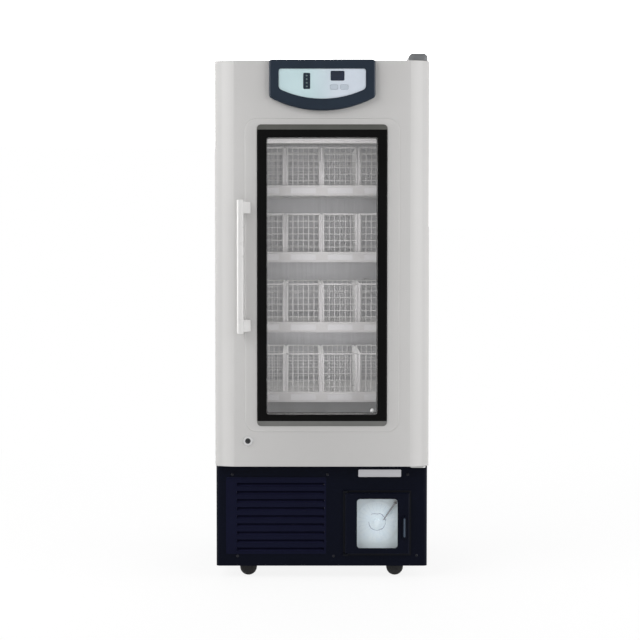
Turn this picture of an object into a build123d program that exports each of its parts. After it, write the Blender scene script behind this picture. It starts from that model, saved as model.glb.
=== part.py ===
from build123d import *
import os
from math import atan2, degrees

# Blood bank refrigerator, in millimetres.
# X runs to the viewer's right, Y into the depth and Z up. The front faces -Y.
# The origin lies on the floor, under the middle of the whole object.

# Overall sizes
WIDTH = 625.0           # cabinet and door, side to side
BODY_DEPTH = 560.0      # cabinet from front face to back
BODY_HEIGHT = 1190.0    # insulated cabinet above the base
BASE_HEIGHT = 295.0     # black machine base
BASE_INSET = 1.0        # base narrower than the cabinet, each side
BASE_STEP = 24.0        # base front in front of the cabinet's front face
GROUND_GAP = 36.0       # floor to the base's lower edge
SHEET = 1.2             # painted steel sheet
TOUCH = 0.3             # gap between pieces that only rest on each other

# Cabinet inside
CAVITY_WIDTH = 465.0
CAVITY_DEPTH = 485.0
CAVITY_HEIGHT = 944.0
CAVITY_FLOOR = 143.0    # cavity floor above the base top
LINER = 1.5
FACE_FRAME = 12.0       # thickness of the frame that the seal closes on

# Door
DOOR_DEPTH = 56.0
SEAL_GAP = 13.0         # door back to cabinet front
SEAL_WIDTH = 24.0
SEAL_MARGIN = 11.0      # seal outside the cavity's edge
DOOR_GAP = 6.0          # under the door
DOOR_TOP_GAP = 2.0      # door top under the cabinet top
EDGE_WIDTH = 56.0       # sloping strip along each side of the door
EDGE_DROP = 20.0
EDGE_BULGE = 2.6
DOOR_LINER = 3.0

# Window
WINDOW_WIDTH = 323.0    # clear glass
WINDOW_HEIGHT = 808.0
WINDOW_BOTTOM = 158.0   # clear glass above the base top
BEZEL_SIDE = 28.0
BEZEL_TOP = 37.0
BEZEL_BOTTOM = 33.0
BEZEL_PROUD = 5.0
BEZEL_BEVEL = 3.0
BEZEL_SLOPE = 15.0      # long outer slope of the top and bottom rails
BEZEL_FALL = 3.5        # what that slope falls
BEZEL_RADIUS = 12.0
PANEL_MARGIN = 35.0     # raised panel round the bezel
PANEL_RISE = 1.5
PANE = 4.0
PANE_GAP = 16.0
PANE_DEPTH = 12.0       # outer pane behind the door front
PANE_LAP = 11.0         # pane behind the bezel
BEZEL_LAP = 8.0         # bezel's flange over the door's skin
SPACER = 9.0

# Handle
HANDLE_BESIDE = 12.5    # handle's middle outside the raised panel
HANDLE_WIDTH = 19.0
HANDLE_THICK = 15.0
HANDLE_LENGTH = 389.0
HANDLE_BOTTOM = 396.0   # above the base top
HANDLE_STAND = 42.0     # handle front to door front
HANDLE_ROUND = 6.3
HANDLE_BEVEL = 1.8
HANDLE_FOOT = 34.0
HANDLE_FOOT_END = 6.0   # foot from the bar's end
HANDLE_FOOT_INSET = 1.5         # foot narrower than the bar, each side
HANDLE_PAD = 37.0       # foot's width on the door
HANDLE_PAD_THICK = 4.0

# Control panel on the door
CONTROL_WIDTH = 308.0
CONTROL_HEIGHT = 108.0  # straight sides
CONTROL_BELLY = 39.0    # rise of the curved lower edge
CONTROL_ABOVE = 1.5     # above the door top
CONTROL_DEPTH = 20.0
CONTROL_RIM_TOP = 27.0
CONTROL_RIM_SIDE = 28.0
CONTROL_CORNERS = (10.0, 12.0)  # at the top, and beside the curved edge
CONTROL_BEVEL = 4.0
FASCIA_HEIGHT = 57.5
FASCIA_BELLY = 29.0
FASCIA_CORNERS = (7.0, 14.0)
FASCIA_DEPTH = 2.5
FASCIA_SINK = 2.0
DISPLAY_SIZE = (41.0, 29.0)
DISPLAY_AT = (44.0, 6.0)        # from the fascia's top centre, right and down
DISPLAY_SINK = 0.8
LAMP_COLUMN_SIZE = (21.0, 47.0)
LAMP_COLUMN_AT = (-45.0, 12.0)
SUNK_CORNER = 4.0       # corners of both sunk places
KEY_SIZE = (22.0, 14.0)
KEY_X = (34.0, 64.0)
KEY_DROP = 53.0         # key centres below the fascia's top
KEY_PROUD = 1.0
KEY_TRAVEL = 0.7
KEY_GAP = 0.4           # round each key

# Lock
LOCK_FROM_SIDE = 96.0
LOCK_Z = 81.4           # above the base top
LOCK_RADIUS = 11.0
LOCK_FLANGE = 14.0
LOCK_FLANGE_DEPTH = 3.0
BARREL_RADIUS = 8.0
BARREL_PROUD = 4.0      # in front of the door
KEY_SLOT = (2.4, 8.0, 9.0)      # width, depth and height
RUN_GAP = 0.06          # round running fits
CAM_LENGTH = 30.0
CAM_WIDTH = 12.0
CAM_THICK = 3.0
CAM_FROM_BODY = 6.5     # cam front to cabinet front
STRIKE_SHEET = 2.0
STRIKE_GAP = 1.5        # its lip to the cam
STRIKE_CLEAR = 4.0      # its web to the cam's end
STRIKE_COVER = 11.0     # its lip over the cam
STRIKE_FOOT = 16.0

# Door hinge
PIVOT_FROM_SIDE = 20.0
PIVOT_FROM_BACK = 28.0
PIN_RADIUS = 5.0
PIN_LENGTH = 12.0
BRACKET = 4.0
BRACKET_WIDTH = 46.0
BRACKET_CORNER = 12.0
BRACKET_LEAD = 14.0     # plate in front of the pivot
BRACKET_GAP = 1.5       # lower plate under the door
BRACKET_LEG = 60.0      # lower plate's leg on the cabinet face
BRACKET_LEG_THICK = 3.0
BUSH_RADIUS = 8.0
BUSH_LENGTH = 16.0
COVER_HEIGHT = 20.0
COVER_WIDTH = 56.0
COVER_INSET = 5.0       # from the cabinet's side
COVER_WALL = 2.5
COVER_LEAD = 18.0       # cap in front of the pivot
COVER_TAIL = 6.0        # cap behind the hinge plate
COVER_CORNER = 15.0
COVER_DOME = 13.0       # rounding of its top edge
COVER_SKIRT = 1.2       # hangs over the door, below the cabinet top
HINGE_REACH = 70.0      # top hinge plate behind the cabinet's front face

# Drawers and their baskets
LOWEST_TRAY = 186.0             # lowest tray bottom above the base top
TIER_RISES = (208.0, 208.0, 197.0)
TRAY_WIDTH = 438.0
TRAY_DEPTH = 400.0
TRAY_SETBACK = 28.0             # tray front behind the cabinet front
TRAY_SHEET = 1.5
LIP_HEIGHT = 30.0
LIP_RETURN = 12.0
LIP_FOLD = 5.0                  # down-turn at the lip's rear edge
TRAY_WALL = 28.0
SLOT_MARGIN = 15.0              # basket's edge to the slots under it
SLOT_END = 40.0                 # slots from the tray's front and back
SLOT_BAR = 40.0                 # metal left between two slots
RAIL_HEIGHT = 22.0
RAIL_FOOT = 8.0                 # rail's lower edge above the tray bottom
RUNNER_START = 20.0             # runner behind the tray's front edge
RUNNER_REACH = 10.0
RAIL_CLEAR = 3.0                # tray's side to the rail
RAIL_SETBACK = 4.0              # rail behind the runner's front end
RAIL_END = 20.0                 # rail's end from the cavity's back
BASKETS = 4
BASKET_PITCH = 109.0
BASKET_WIDTH = 105.0
BASKET_DEPTH = 380.0
BASKET_HEIGHT = 143.0
BASKET_SETBACK = 0.5            # behind the tray's rolled lip
WIRE = 3.0
RIM_WIRE = 5.0

# Air duct, evaporator, light and sensor inside the cavity
DUCT_WIDTH = 450.0
DUCT_HEIGHT = 118.0
DUCT_DEPTH = 400.0
DUCT_SETBACK = 60.0
OUTLETS = 4                     # slots in the cover's front
OUTLET = 7.0
OUTLET_PITCH = 15.0
OUTLET_BOTTOM = 35.0            # above the cover's floor
OUTLET_END = 30.0
FAN_SLOTS = 7                   # slots in its floor, under the fan
FAN_SLOT = 8.0
FAN_SLOT_PITCH = 16.0
FAN_SLOT_REACH = 52.0           # each side of the fan's axis
FAN_BEHIND = 40.0               # fan's rim behind the cover's front
COLD_STAND = 12.0               # fan and evaporator above the cover's lower face
EVAPORATOR = (340.0, 130.0, 80.0)
EVAPORATOR_BEHIND = 20.0        # from the cover's back sheet
EVAPORATOR_STRAP = (16.0, 110.0)        # width, and distance from the middle
EVAPORATOR_FINS = 10
EVAPORATOR_FAN_RADIUS = 62.0
FAN_DEPTH = 18.0
FAN_PITCH = 20.0                # blades' angle, degrees
FAN_SHEET = 2.0
LIGHT = (360.0, 16.0, 20.0)
LIGHT_DROP = 14.0               # below the duct cover
LIGHT_BEVEL = 6.0
SENSOR_RADIUS = 14.0
SENSOR_HEIGHT = 62.0
SENSOR_X = 150.0
SENSOR_Z = 470.0                # above the base top
SENSOR_BEHIND = 6.0             # bottle to the back wall
SENSOR_CAP = (8.4, 10.0)        # radius and height
SENSOR_CLIP = (36.0, 14.0, 20.0)        # width, height, and height above the bottle's base

# Castors
WHEEL_RADIUS = 25.0
WHEEL_WIDTH = 20.0
AXLE_RADIUS = 3.0
TRAIL = 20.0                    # wheel centre from the swivel axis
CASTOR_HEIGHT = 62.0            # floor to the mounting plate's top
CASTOR_PLATE = 3.0
CASTOR_PLATE_SIZE = 60.0
CASTOR_FROM_SIDE = 74.5
CASTOR_BEHIND = 1.0             # front castor's sweep behind the grille's sheet
SWEEP_GAP = 2.0                 # round a turning castor
CASTOR_FROM_BACK = 75.0
FORK = 2.5
SWIVEL_RADIUS = 19.0
SWIVEL_SEAT = 3.0               # fork's crown below the plate

# Machine base
GRILLE_SHEET = 3.0
GRILLE_CORNER = 12.0
GRILLE_DEPTH = 34.0
LOUVRE_FROM_SIDE = 61.5
LOUVRE_FROM_RECORDER = 56.5
LOUVRE_BOTTOM = 43.3            # above the base's lower edge
LOUVRE_PITCH = 24.0
LOUVRES = 9
LOUVRE_GAP = 11.0
FIELD_LEFT = 32.0               # smooth strip left of the louvres
FIELD_RIGHT = 6.0
FIELD_BELOW = 8.0
FIELD_ABOVE = 4.0
FIELD_CORNER = 8.0
FIELD_RISE = 2.0
BLADE = 3.0                     # louvre blade's upright thickness
BLADE_LAP = 2.0                 # blade below its slot
BLADE_DEPTH = 16.0
REAR_SLOTS = 12
REAR_SLOT = 6.0
REAR_SLOT_PITCH = 16.0
REAR_SLOT_BOTTOM = 30.0         # above the pan's lower face
REAR_SLOT_ENDS = (40.0, 200.0)  # from the cover's left and right ends
PAN_FRONT = 12.0                # pan's front edge behind the base front
PAN_SHEET = 2.0
PAN_LIP = 18.0
PAN_CLEAR = 3.0                 # front lip to the recorder's side
POST = 25.0                     # square posts between pan and cabinet
CONDENSER = (240.0, 44.0, 196.0)
CONDENSER_BEHIND = 72.0         # coil behind the base front
CONDENSER_FINS = 12
HEADER = 16.0                   # condenser's header, square
CONDENSER_FROM_SIDE = 43.5      # coil's end from the base's side
CONDENSER_FAN_RADIUS = 84.0
SHROUD_DEPTH = 34.0
MOTOR_RADIUS = 27.0
MOTOR_LENGTH = 46.0
COMPRESSOR_RADIUS = 82.0
COMPRESSOR_HEIGHT = 176.0
COMPRESSOR_AT = (159.5, 452.0)  # from the base's left side, and behind the base front
CONTROL_BOX = (180.0, 120.0, 130.0)
CONTROL_BOX_AT = (139.5, 440.0)         # from the base's right side, and behind the base front
TUBE_RADIUS = 4.0
TUBE_BEND = 16.0
TUBE_OUT = 30.0                 # suction line's rise beside its stub
STUB_RADIUS = 5.5               # compressor's connecting stubs
STUB_REACH = 6.0                # beyond its shell
STUB_OFFSET = 40.0              # from the compressor's middle
STUB_HEIGHT = 60.0
DRIER_RADIUS = 10.0
DRIER_LENGTH = 30.0
INLET_FROM_SIDE = 96.5
INLET_Z = 150.0
INLET_SIZE = (28.0, 20.0)       # body of the power inlet
INLET_RIM = 2.0                 # its flange behind the back

# Chart recorder in the base
RECORDER_FROM_SIDE = 149.0
RECORDER_Z = 127.4              # above the base's lower edge
RECORDER_SIZE = (200.0, 192.0)
RECORDER_DEPTH = 56.0
RECORDER_WALL = 2.5
RECORDER_RIM = 5.0              # body rim round the recorder's door
RECORDER_DOOR = 11.0            # door thickness
RECORDER_FLANGE = 9.0           # flange that the door closes on
RECORDER_PIN = 2.0
RECORDER_PIN_DEPTH = 7.0
RECORDER_PIN_FROM_EDGE = 4.0
RECORDER_PIN_FROM_FACE = 4.5
RECORDER_WINDOW = (120.0, 146.0)
RECORDER_CORNER = 9.0           # window's corners
PANE_REBATE = 4.0               # pane wider than the window, each side
RECORDER_PANE = 3.0             # thickness, and its place behind the door's front
PULL_SIZE = (11.0, 64.0)
PULL_PROUD = 9.0
PULL_BESIDE = 14.0              # from the window's edge
PULL_DROP = 11.0                # its middle below the window's
CHART_RADIUS = 63.0
CHART_THICK = 1.0
CHART_DEPTH = 22.0              # chart face behind the body's front
HUB_RADIUS = 9.0
PEN_LENGTH = 62.0

# Places worked out from the sizes above
BASE_TOP = GROUND_GAP + BASE_HEIGHT
BODY_TOP = BASE_TOP + BODY_HEIGHT
FRONT = (SEAL_GAP + DOOR_DEPTH + HANDLE_STAND - BODY_DEPTH - INLET_RIM) / 2
BACK = FRONT + BODY_DEPTH
DOOR_BACK = FRONT - SEAL_GAP
DOOR_FRONT = DOOR_BACK - DOOR_DEPTH
DOOR_BOTTOM = BASE_TOP + DOOR_GAP
DOOR_TOP = BODY_TOP - DOOR_TOP_GAP
HALF = WIDTH / 2
CAVITY_Z0 = BASE_TOP + CAVITY_FLOOR
CAVITY_Z1 = CAVITY_Z0 + CAVITY_HEIGHT
CAVITY_HALF = CAVITY_WIDTH / 2
CAVITY_BACK = FRONT + CAVITY_DEPTH
PIVOT_X = HALF - PIVOT_FROM_SIDE
PIVOT_Y = DOOR_BACK - PIVOT_FROM_BACK
WINDOW_Z0 = BASE_TOP + WINDOW_BOTTOM
WINDOW_Z1 = WINDOW_Z0 + WINDOW_HEIGHT
BEZEL_Z0 = WINDOW_Z0 - BEZEL_BOTTOM
BEZEL_Z1 = WINDOW_Z1 + BEZEL_TOP
BEZEL_HALF = WINDOW_WIDTH / 2 + BEZEL_SIDE
PANEL_HALF = BEZEL_HALF + PANEL_MARGIN
HANDLE_X = -PANEL_HALF - HANDLE_BESIDE
SLEEVE = BEZEL_SIDE - BEZEL_LAP
OUTER_PANE_Y = DOOR_FRONT + PANE_DEPTH
INNER_PANE_Y = OUTER_PANE_Y + PANE + PANE_GAP
LOCK_X = -HALF + LOCK_FROM_SIDE
LOCK_HEIGHT = BASE_TOP + LOCK_Z
FASCIA_TOP = DOOR_TOP + CONTROL_ABOVE - CONTROL_RIM_TOP
FASCIA_WIDTH = CONTROL_WIDTH - 2 * CONTROL_RIM_SIDE
FASCIA_Y = DOOR_FRONT - CONTROL_DEPTH + FASCIA_SINK
CAM_Y = FRONT - CAM_FROM_BODY
TRAY_Y = FRONT + TRAY_SETBACK
BASE_FRONT = FRONT - BASE_STEP
BASE_HALF = HALF - BASE_INSET
RECORDER_Y = BASE_FRONT - 2.0
RECORDER_HEIGHT = GROUND_GAP + RECORDER_Z
RECORDER_X = HALF - RECORDER_FROM_SIDE
LOUVRE_LEFT = -HALF + LOUVRE_FROM_SIDE
LOUVRE_RIGHT = RECORDER_X - RECORDER_SIZE[0] / 2 - LOUVRE_FROM_RECORDER
INLET_X = HALF - INLET_FROM_SIDE
CASTOR_X = HALF - CASTOR_FROM_SIDE
CONDENSER_X = -BASE_HALF + CONDENSER_FROM_SIDE + CONDENSER[0] / 2
COMPRESSOR_X = -BASE_HALF + COMPRESSOR_AT[0]
COMPRESSOR_Y = BASE_FRONT + COMPRESSOR_AT[1]
PAN_Z = CASTOR_HEIGHT
CASTOR_SWEEP = TRAIL + WHEEL_RADIUS + SWEEP_GAP
FRONT_CASTOR_Y = BASE_FRONT + GRILLE_SHEET + CASTOR_BEHIND + CASTOR_SWEEP
REAR_CASTOR_Y = BACK - CASTOR_FROM_BACK
DUCT_Z0 = CAVITY_Z1 - DUCT_HEIGHT
DUCT_Y = FRONT + DUCT_SETBACK


def tray_heights():
    """Bottom of each tray, lowest first."""
    heights = [BASE_TOP + LOWEST_TRAY]
    for rise in TIER_RISES:
        heights.append(heights[-1] + rise)
    return heights


def block(x0, x1, y0, y1, z0, z1):
    """A box between two corners."""
    return Pos((x0 + x1) / 2, (y0 + y1) / 2, (z0 + z1) / 2) * Box(x1 - x0, y1 - y0, z1 - z0)


def rod(x, y, z, radius, length, axis="Z"):
    """A cylinder that starts at a point and runs along an axis."""
    turn = {"X": Rot(0, 90, 0), "Y": Rot(-90, 0, 0), "Z": Rot(0, 0, 0)}[axis]
    return Pos(x, y, z) * turn * Pos(0, 0, length / 2) * Cylinder(radius, length)


def from_front(sketch, y, depth):
    """A sketch drawn on X and Z, as a plate from y to y + depth."""
    return extrude(Plane.XZ.offset(-y) * sketch, -depth)


def panel(x0, x1, z0, z1, radius, y, depth):
    """A plate that faces the front, with rounded corners."""
    outline = Pos((x0 + x1) / 2, (z0 + z1) / 2) * RectangleRounded(x1 - x0, z1 - z0, radius)
    return from_front(outline, y, depth)


def ring(x0, x1, z0, z1, y0, y1, bar):
    """A rectangular frame that faces the front, with its bar inside the outline."""
    inner = block(x0 + bar, x1 - bar, y0 - 1, y1 + 1, z0 + bar, z1 - bar)
    return block(x0, x1, y0, y1, z0, z1) - inner


def along_x(points, x0, x1):
    """A profile of (y, z) points, extruded from x0 to x1."""
    outline = make_face(Polyline(*[(y, z) for y, z in points], close=True))
    return extrude(Plane.YZ.offset(x0) * outline, x1 - x0)


def along_y(points, y0, y1):
    """A profile of (x, z) points, extruded from y0 to y1."""
    return from_front(make_face(Polyline(*points, close=True)), y0, y1 - y0)


def solids_of(*shapes):
    """Separate solids as one group."""
    return Compound(children=[solid for shape in shapes for solid in shape.solids()])


def save(name, shape):
    export_step(shape, os.path.join("parts", name + ".step"))


# Cabinet

def outer_shell():
    """Painted sheet: two sides, top and back, open at the front and below."""
    outer = block(-HALF, HALF, FRONT, BACK, BASE_TOP, BODY_TOP)
    inner = block(-HALF + SHEET, HALF - SHEET, FRONT - 1, BACK - SHEET, BASE_TOP - 1, BODY_TOP - SHEET)
    return outer - inner


def face_frame():
    """Moulded frame round the cavity's mouth."""
    outer = block(-HALF + SHEET, HALF - SHEET, FRONT, FRONT + FACE_FRAME, BASE_TOP, BODY_TOP - SHEET)
    mouth = block(-CAVITY_HALF, CAVITY_HALF, FRONT - 1, FRONT + FACE_FRAME + 1, CAVITY_Z0, CAVITY_Z1)
    return outer - mouth


def inner_liner():
    """Stainless tub behind the face frame."""
    y0 = FRONT + FACE_FRAME
    return cavity_box(LINER, y0) - cavity_box(0, y0 - 1)


def cavity_box(margin, y0):
    """The cavity from y0 to its back, larger by a margin."""
    half = CAVITY_HALF + margin
    return block(-half, half, y0, CAVITY_BACK + margin, CAVITY_Z0 - margin, CAVITY_Z1 + margin)


def cabinet_foam():
    """Foam between the shell and the liner."""
    outer = block(
        -HALF + SHEET, HALF - SHEET, FRONT + FACE_FRAME, BACK - SHEET, BASE_TOP, BODY_TOP - SHEET
    )
    return outer - cavity_box(LINER, FRONT)


# Door

def door_outline(inset):
    """The door seen from above, drawn in by an inset. Its side strips slope back in a shallow curve."""
    side = HALF - inset
    face = DOOR_FRONT + inset
    crease = HALF - EDGE_WIDTH
    shoulder = face + EDGE_DROP
    back = DOOR_BACK
    left = [
        Line((-crease, face), (crease, face)),
        SagittaArc((crease, face), (side, shoulder), -EDGE_BULGE),
        Line((side, shoulder), (side, back)),
        Line((side, back), (-side, back)),
        Line((-side, back), (-side, shoulder)),
        SagittaArc((-side, shoulder), (-crease, face), -EDGE_BULGE),
    ]
    return make_face(Curve() + left)


def door_blank(inset):
    """The door's solid body, drawn in by an inset on all sides but the back."""
    height = DOOR_TOP - DOOR_BOTTOM - 2 * inset
    return Pos(0, 0, DOOR_BOTTOM + inset) * extrude(door_outline(inset), height)


def window_hole(margin, y0, y1, radius):
    """The opening for the glazing, wider than the clear glass by a margin."""
    half = WINDOW_WIDTH / 2 + margin
    return panel(-half, half, WINDOW_Z0 - margin, WINDOW_Z1 + margin, radius, y0, y1 - y0)


def door_holes():
    """Cuts for the lock housing and the two hinge bushes."""
    lock = rod(LOCK_X, DOOR_FRONT - 5, LOCK_HEIGHT, LOCK_RADIUS, DOOR_DEPTH + 10, "Y")
    top = rod(PIVOT_X, PIVOT_Y, DOOR_TOP - BUSH_LENGTH, BUSH_RADIUS, BUSH_LENGTH + 5)
    bottom = rod(PIVOT_X, PIVOT_Y, DOOR_BOTTOM - 5, BUSH_RADIUS, BUSH_LENGTH + 5)
    return lock + top + bottom


def door_skin():
    """Painted steel pan with sloping sides and a raised panel round the window."""
    half = PANEL_HALF
    top = BEZEL_Z1 + PANEL_MARGIN / 2
    bottom = BEZEL_Z0 - PANEL_MARGIN / 2
    raised = panel(-half, half, bottom, top, PANEL_MARGIN, DOOR_FRONT - PANEL_RISE, PANEL_RISE)
    raised = chamfer(raised.edges().group_by(Axis.Y)[0], PANEL_RISE * 0.8)
    inner = Pos(0, 0, DOOR_BOTTOM + SHEET) * extrude(
        door_outline(SHEET), DOOR_TOP - DOOR_BOTTOM - 2 * SHEET
    )
    skin = door_blank(0) - inner + raised
    return skin - window_hole(SLEEVE, DOOR_FRONT - 5, DOOR_BACK + 5, BEZEL_RADIUS) - door_holes()


def door_foam():
    """Foam core of the door."""
    core = door_blank(SHEET) - block(-WIDTH, WIDTH, DOOR_BACK - DOOR_LINER, DOOR_BACK + 5, 0, 2 * BODY_TOP)
    return core - window_hole(SLEEVE, DOOR_FRONT - 5, DOOR_BACK + 5, BEZEL_RADIUS) - door_holes()


def door_inner_frame():
    """Plastic liner that closes the door's back and carries the seal and the glazing."""
    side = HALF - SHEET
    plate = block(-side, side, DOOR_BACK - DOOR_LINER, DOOR_BACK, DOOR_BOTTOM + SHEET, DOOR_TOP - SHEET)
    sleeve = window_hole(SLEEVE, INNER_PANE_Y + PANE, DOOR_BACK, BEZEL_RADIUS)
    mouth = window_hole(0, INNER_PANE_Y, DOOR_BACK + 5, BEZEL_RADIUS / 2)
    return plate + sleeve - mouth - door_holes()


def window_bezel():
    """Black moulding: a flange with sloping top and bottom rails, and a sleeve back to the outer pane."""
    flange_y = DOOR_FRONT - PANEL_RISE - BEZEL_PROUD
    flange = panel(
        -BEZEL_HALF, BEZEL_HALF, BEZEL_Z0, BEZEL_Z1, BEZEL_RADIUS, flange_y, BEZEL_PROUD
    )
    flange = chamfer(flange.edges().group_by(Axis.Y)[0], BEZEL_BEVEL)
    flange -= rail_slope(flange_y, BEZEL_Z1, 1) + rail_slope(flange_y, BEZEL_Z0, -1)
    sleeve = window_hole(SLEEVE, flange_y + BEZEL_PROUD, OUTER_PANE_Y, BEZEL_RADIUS)
    return flange + sleeve - window_hole(0, flange_y - 1, OUTER_PANE_Y + 1, BEZEL_RADIUS / 2)


def rail_slope(y, z, out):
    """What a rail loses to its outer slope. The rail's edge is at z, and out is 1 upwards or -1 downwards."""
    start = z - out * BEZEL_SLOPE
    wedge = [(y - 1, start), (y, start), (y + BEZEL_FALL, z), (y + BEZEL_FALL, z + out), (y - 1, z + out)]
    return along_x(wedge, -BEZEL_HALF - 1, BEZEL_HALF + 1)


def glazing_box(y0, y1):
    """A slab of the glazing unit's outline."""
    half = WINDOW_WIDTH / 2 + PANE_LAP
    return block(-half, half, y0, y1, WINDOW_Z0 - PANE_LAP, WINDOW_Z1 + PANE_LAP)


def glass_panes():
    outer = glazing_box(OUTER_PANE_Y, OUTER_PANE_Y + PANE)
    inner = glazing_box(INNER_PANE_Y, INNER_PANE_Y + PANE)
    return solids_of(outer, inner)


def glass_spacer():
    half = WINDOW_WIDTH / 2 + PANE_LAP
    return ring(
        -half, half, WINDOW_Z0 - PANE_LAP, WINDOW_Z1 + PANE_LAP, OUTER_PANE_Y + PANE, INNER_PANE_Y, SPACER
    )


def door_gasket():
    """Magnetic seal: a wide sealing lip on a narrower neck."""
    half = CAVITY_HALF + SEAL_MARGIN + SEAL_WIDTH
    z0 = CAVITY_Z0 - SEAL_MARGIN - SEAL_WIDTH
    z1 = CAVITY_Z1 + SEAL_MARGIN + SEAL_WIDTH
    neck = SEAL_WIDTH / 4
    face = FRONT - TOUCH
    middle = face - SEAL_GAP / 2
    lip = ring(-half, half, z0, z1, middle, face, SEAL_WIDTH)
    foot = ring(-half + neck, half - neck, z0 + neck, z1 - neck, DOOR_BACK, middle, SEAL_WIDTH - 2 * neck)
    return lip + foot


def door_handle():
    """Upright bar on two feet."""
    z0 = BASE_TOP + HANDLE_BOTTOM
    z1 = z0 + HANDLE_LENGTH
    y0 = DOOR_FRONT - HANDLE_STAND
    bar = block(
        HANDLE_X - HANDLE_WIDTH / 2, HANDLE_X + HANDLE_WIDTH / 2, y0, y0 + HANDLE_THICK, z0, z1
    )
    bar = fillet(bar.edges().filter_by(Axis.Z), HANDLE_ROUND)
    bar = chamfer(bar.faces().sort_by(Axis.Z)[-1].edges(), HANDLE_BEVEL)
    bar = chamfer(bar.faces().sort_by(Axis.Z)[0].edges(), HANDLE_BEVEL)
    left = HANDLE_X - HANDLE_WIDTH / 2 + HANDLE_FOOT_INSET
    right = HANDLE_X + HANDLE_WIDTH / 2 - HANDLE_FOOT_INSET
    pad = left + HANDLE_PAD
    step = -PANEL_HALF - TOUCH
    skin = DOOR_FRONT - PANEL_RISE
    top = DOOR_FRONT - HANDLE_STAND + HANDLE_THICK / 2
    foot = make_face(Polyline(
        (left, DOOR_FRONT), (step, DOOR_FRONT), (step, skin), (pad, skin), (pad, skin - HANDLE_PAD_THICK),
        (right, top + HANDLE_PAD_THICK), (right, top), (left, top), close=True,
    ))
    for z in (z0 + HANDLE_FOOT_END, z1 - HANDLE_FOOT_END - HANDLE_FOOT):
        bar += Pos(0, 0, z) * extrude(foot, HANDLE_FOOT)
    return bar


def belly_outline(width, height, belly, top, corners):
    """Straight top and sides over a curved lower edge, with its top and low corners rounded."""
    half = width / 2
    edges = [
        Line((-half, top), (half, top)),
        Line((half, top), (half, top - height)),
        SagittaArc((half, top - height), (-half, top - height), belly),
        Line((-half, top - height), (-half, top)),
    ]
    face = make_face(Curve() + edges)
    face = fillet(face.vertices().group_by(Axis.Y)[-1], corners[0])
    return fillet(face.vertices().group_by(Axis.Y)[0], corners[1])


def fascia_outline():
    return belly_outline(FASCIA_WIDTH, FASCIA_HEIGHT, FASCIA_BELLY, FASCIA_TOP, FASCIA_CORNERS)


def key_box(x, margin, y, depth):
    """One key's outline, wider by a margin."""
    width, height = KEY_SIZE
    z = FASCIA_TOP - KEY_DROP
    return panel(
        x - width / 2 - margin, x + width / 2 + margin, z - height / 2 - margin, z + height / 2 + margin,
        height * 0.3, y, depth,
    )


def control_housing():
    """Dark moulded surround of the control panel."""
    top = DOOR_TOP + CONTROL_ABOVE
    outline = belly_outline(CONTROL_WIDTH, CONTROL_HEIGHT, CONTROL_BELLY, top, CONTROL_CORNERS)
    body = from_front(outline, DOOR_FRONT - CONTROL_DEPTH, CONTROL_DEPTH)
    body = chamfer(body.edges().group_by(Axis.Y)[0], CONTROL_BEVEL)
    recess = from_front(fascia_outline(), DOOR_FRONT - CONTROL_DEPTH - 1, FASCIA_SINK + FASCIA_DEPTH + 1)
    wells = [key_box(x, KEY_GAP, FASCIA_Y, FASCIA_DEPTH + KEY_TRAVEL + 1) for x in KEY_X]
    return body - recess - wells[0] - wells[1]


def control_fascia():
    """Pale fascia with a sunk display, a sunk lamp column and two key openings."""
    plate = from_front(fascia_outline(), FASCIA_Y, FASCIA_DEPTH)
    for (dx, dz), (width, height) in ((DISPLAY_AT, DISPLAY_SIZE), (LAMP_COLUMN_AT, LAMP_COLUMN_SIZE)):
        z1 = FASCIA_TOP - dz
        x0, x1 = dx - width / 2, dx + width / 2
        plate -= panel(x0, x1, z1 - height, z1, SUNK_CORNER, FASCIA_Y - 1, 1 + DISPLAY_SINK)
    for x in KEY_X:
        plate -= key_box(x, KEY_GAP, FASCIA_Y - 1, FASCIA_DEPTH + 2)
    return plate


def key(x):
    """A push key that stands a little proud of the fascia, on a wider foot behind it."""
    depth = KEY_PROUD + FASCIA_DEPTH
    return key_box(x, 0, FASCIA_Y - KEY_PROUD, depth + 0.7)


def lock_housing():
    """Fixed sleeve of the lock with its front flange and rear nut."""
    flange = rod(LOCK_X, DOOR_FRONT - LOCK_FLANGE_DEPTH, LOCK_HEIGHT, LOCK_FLANGE, LOCK_FLANGE_DEPTH, "Y")
    tube = rod(LOCK_X, DOOR_FRONT, LOCK_HEIGHT, LOCK_RADIUS, DOOR_DEPTH, "Y")
    bore = rod(LOCK_X, DOOR_FRONT - 10, LOCK_HEIGHT, BARREL_RADIUS + RUN_GAP, DOOR_DEPTH + 20, "Y")
    return flange + tube - bore


def lock_barrel():
    """Turning barrel with its key slot and the cam behind the door."""
    front = DOOR_FRONT - BARREL_PROUD
    length = CAM_Y + CAM_THICK - front
    barrel = rod(LOCK_X, front, LOCK_HEIGHT, BARREL_RADIUS, length, "Y")
    width, depth, height = KEY_SLOT
    slot = block(
        LOCK_X - width / 2, LOCK_X + width / 2, front - 1, front + depth,
        LOCK_HEIGHT - height / 2, LOCK_HEIGHT + height / 2,
    )
    half = CAM_WIDTH / 2
    cam = block(
        LOCK_X - half, LOCK_X + half, CAM_Y, CAM_Y + CAM_THICK, LOCK_HEIGHT - CAM_LENGTH, LOCK_HEIGHT
    )
    cam = fillet(cam.edges().filter_by(Axis.Y).group_by(Axis.Z)[0], half * 0.9)
    return barrel + cam - slot


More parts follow.
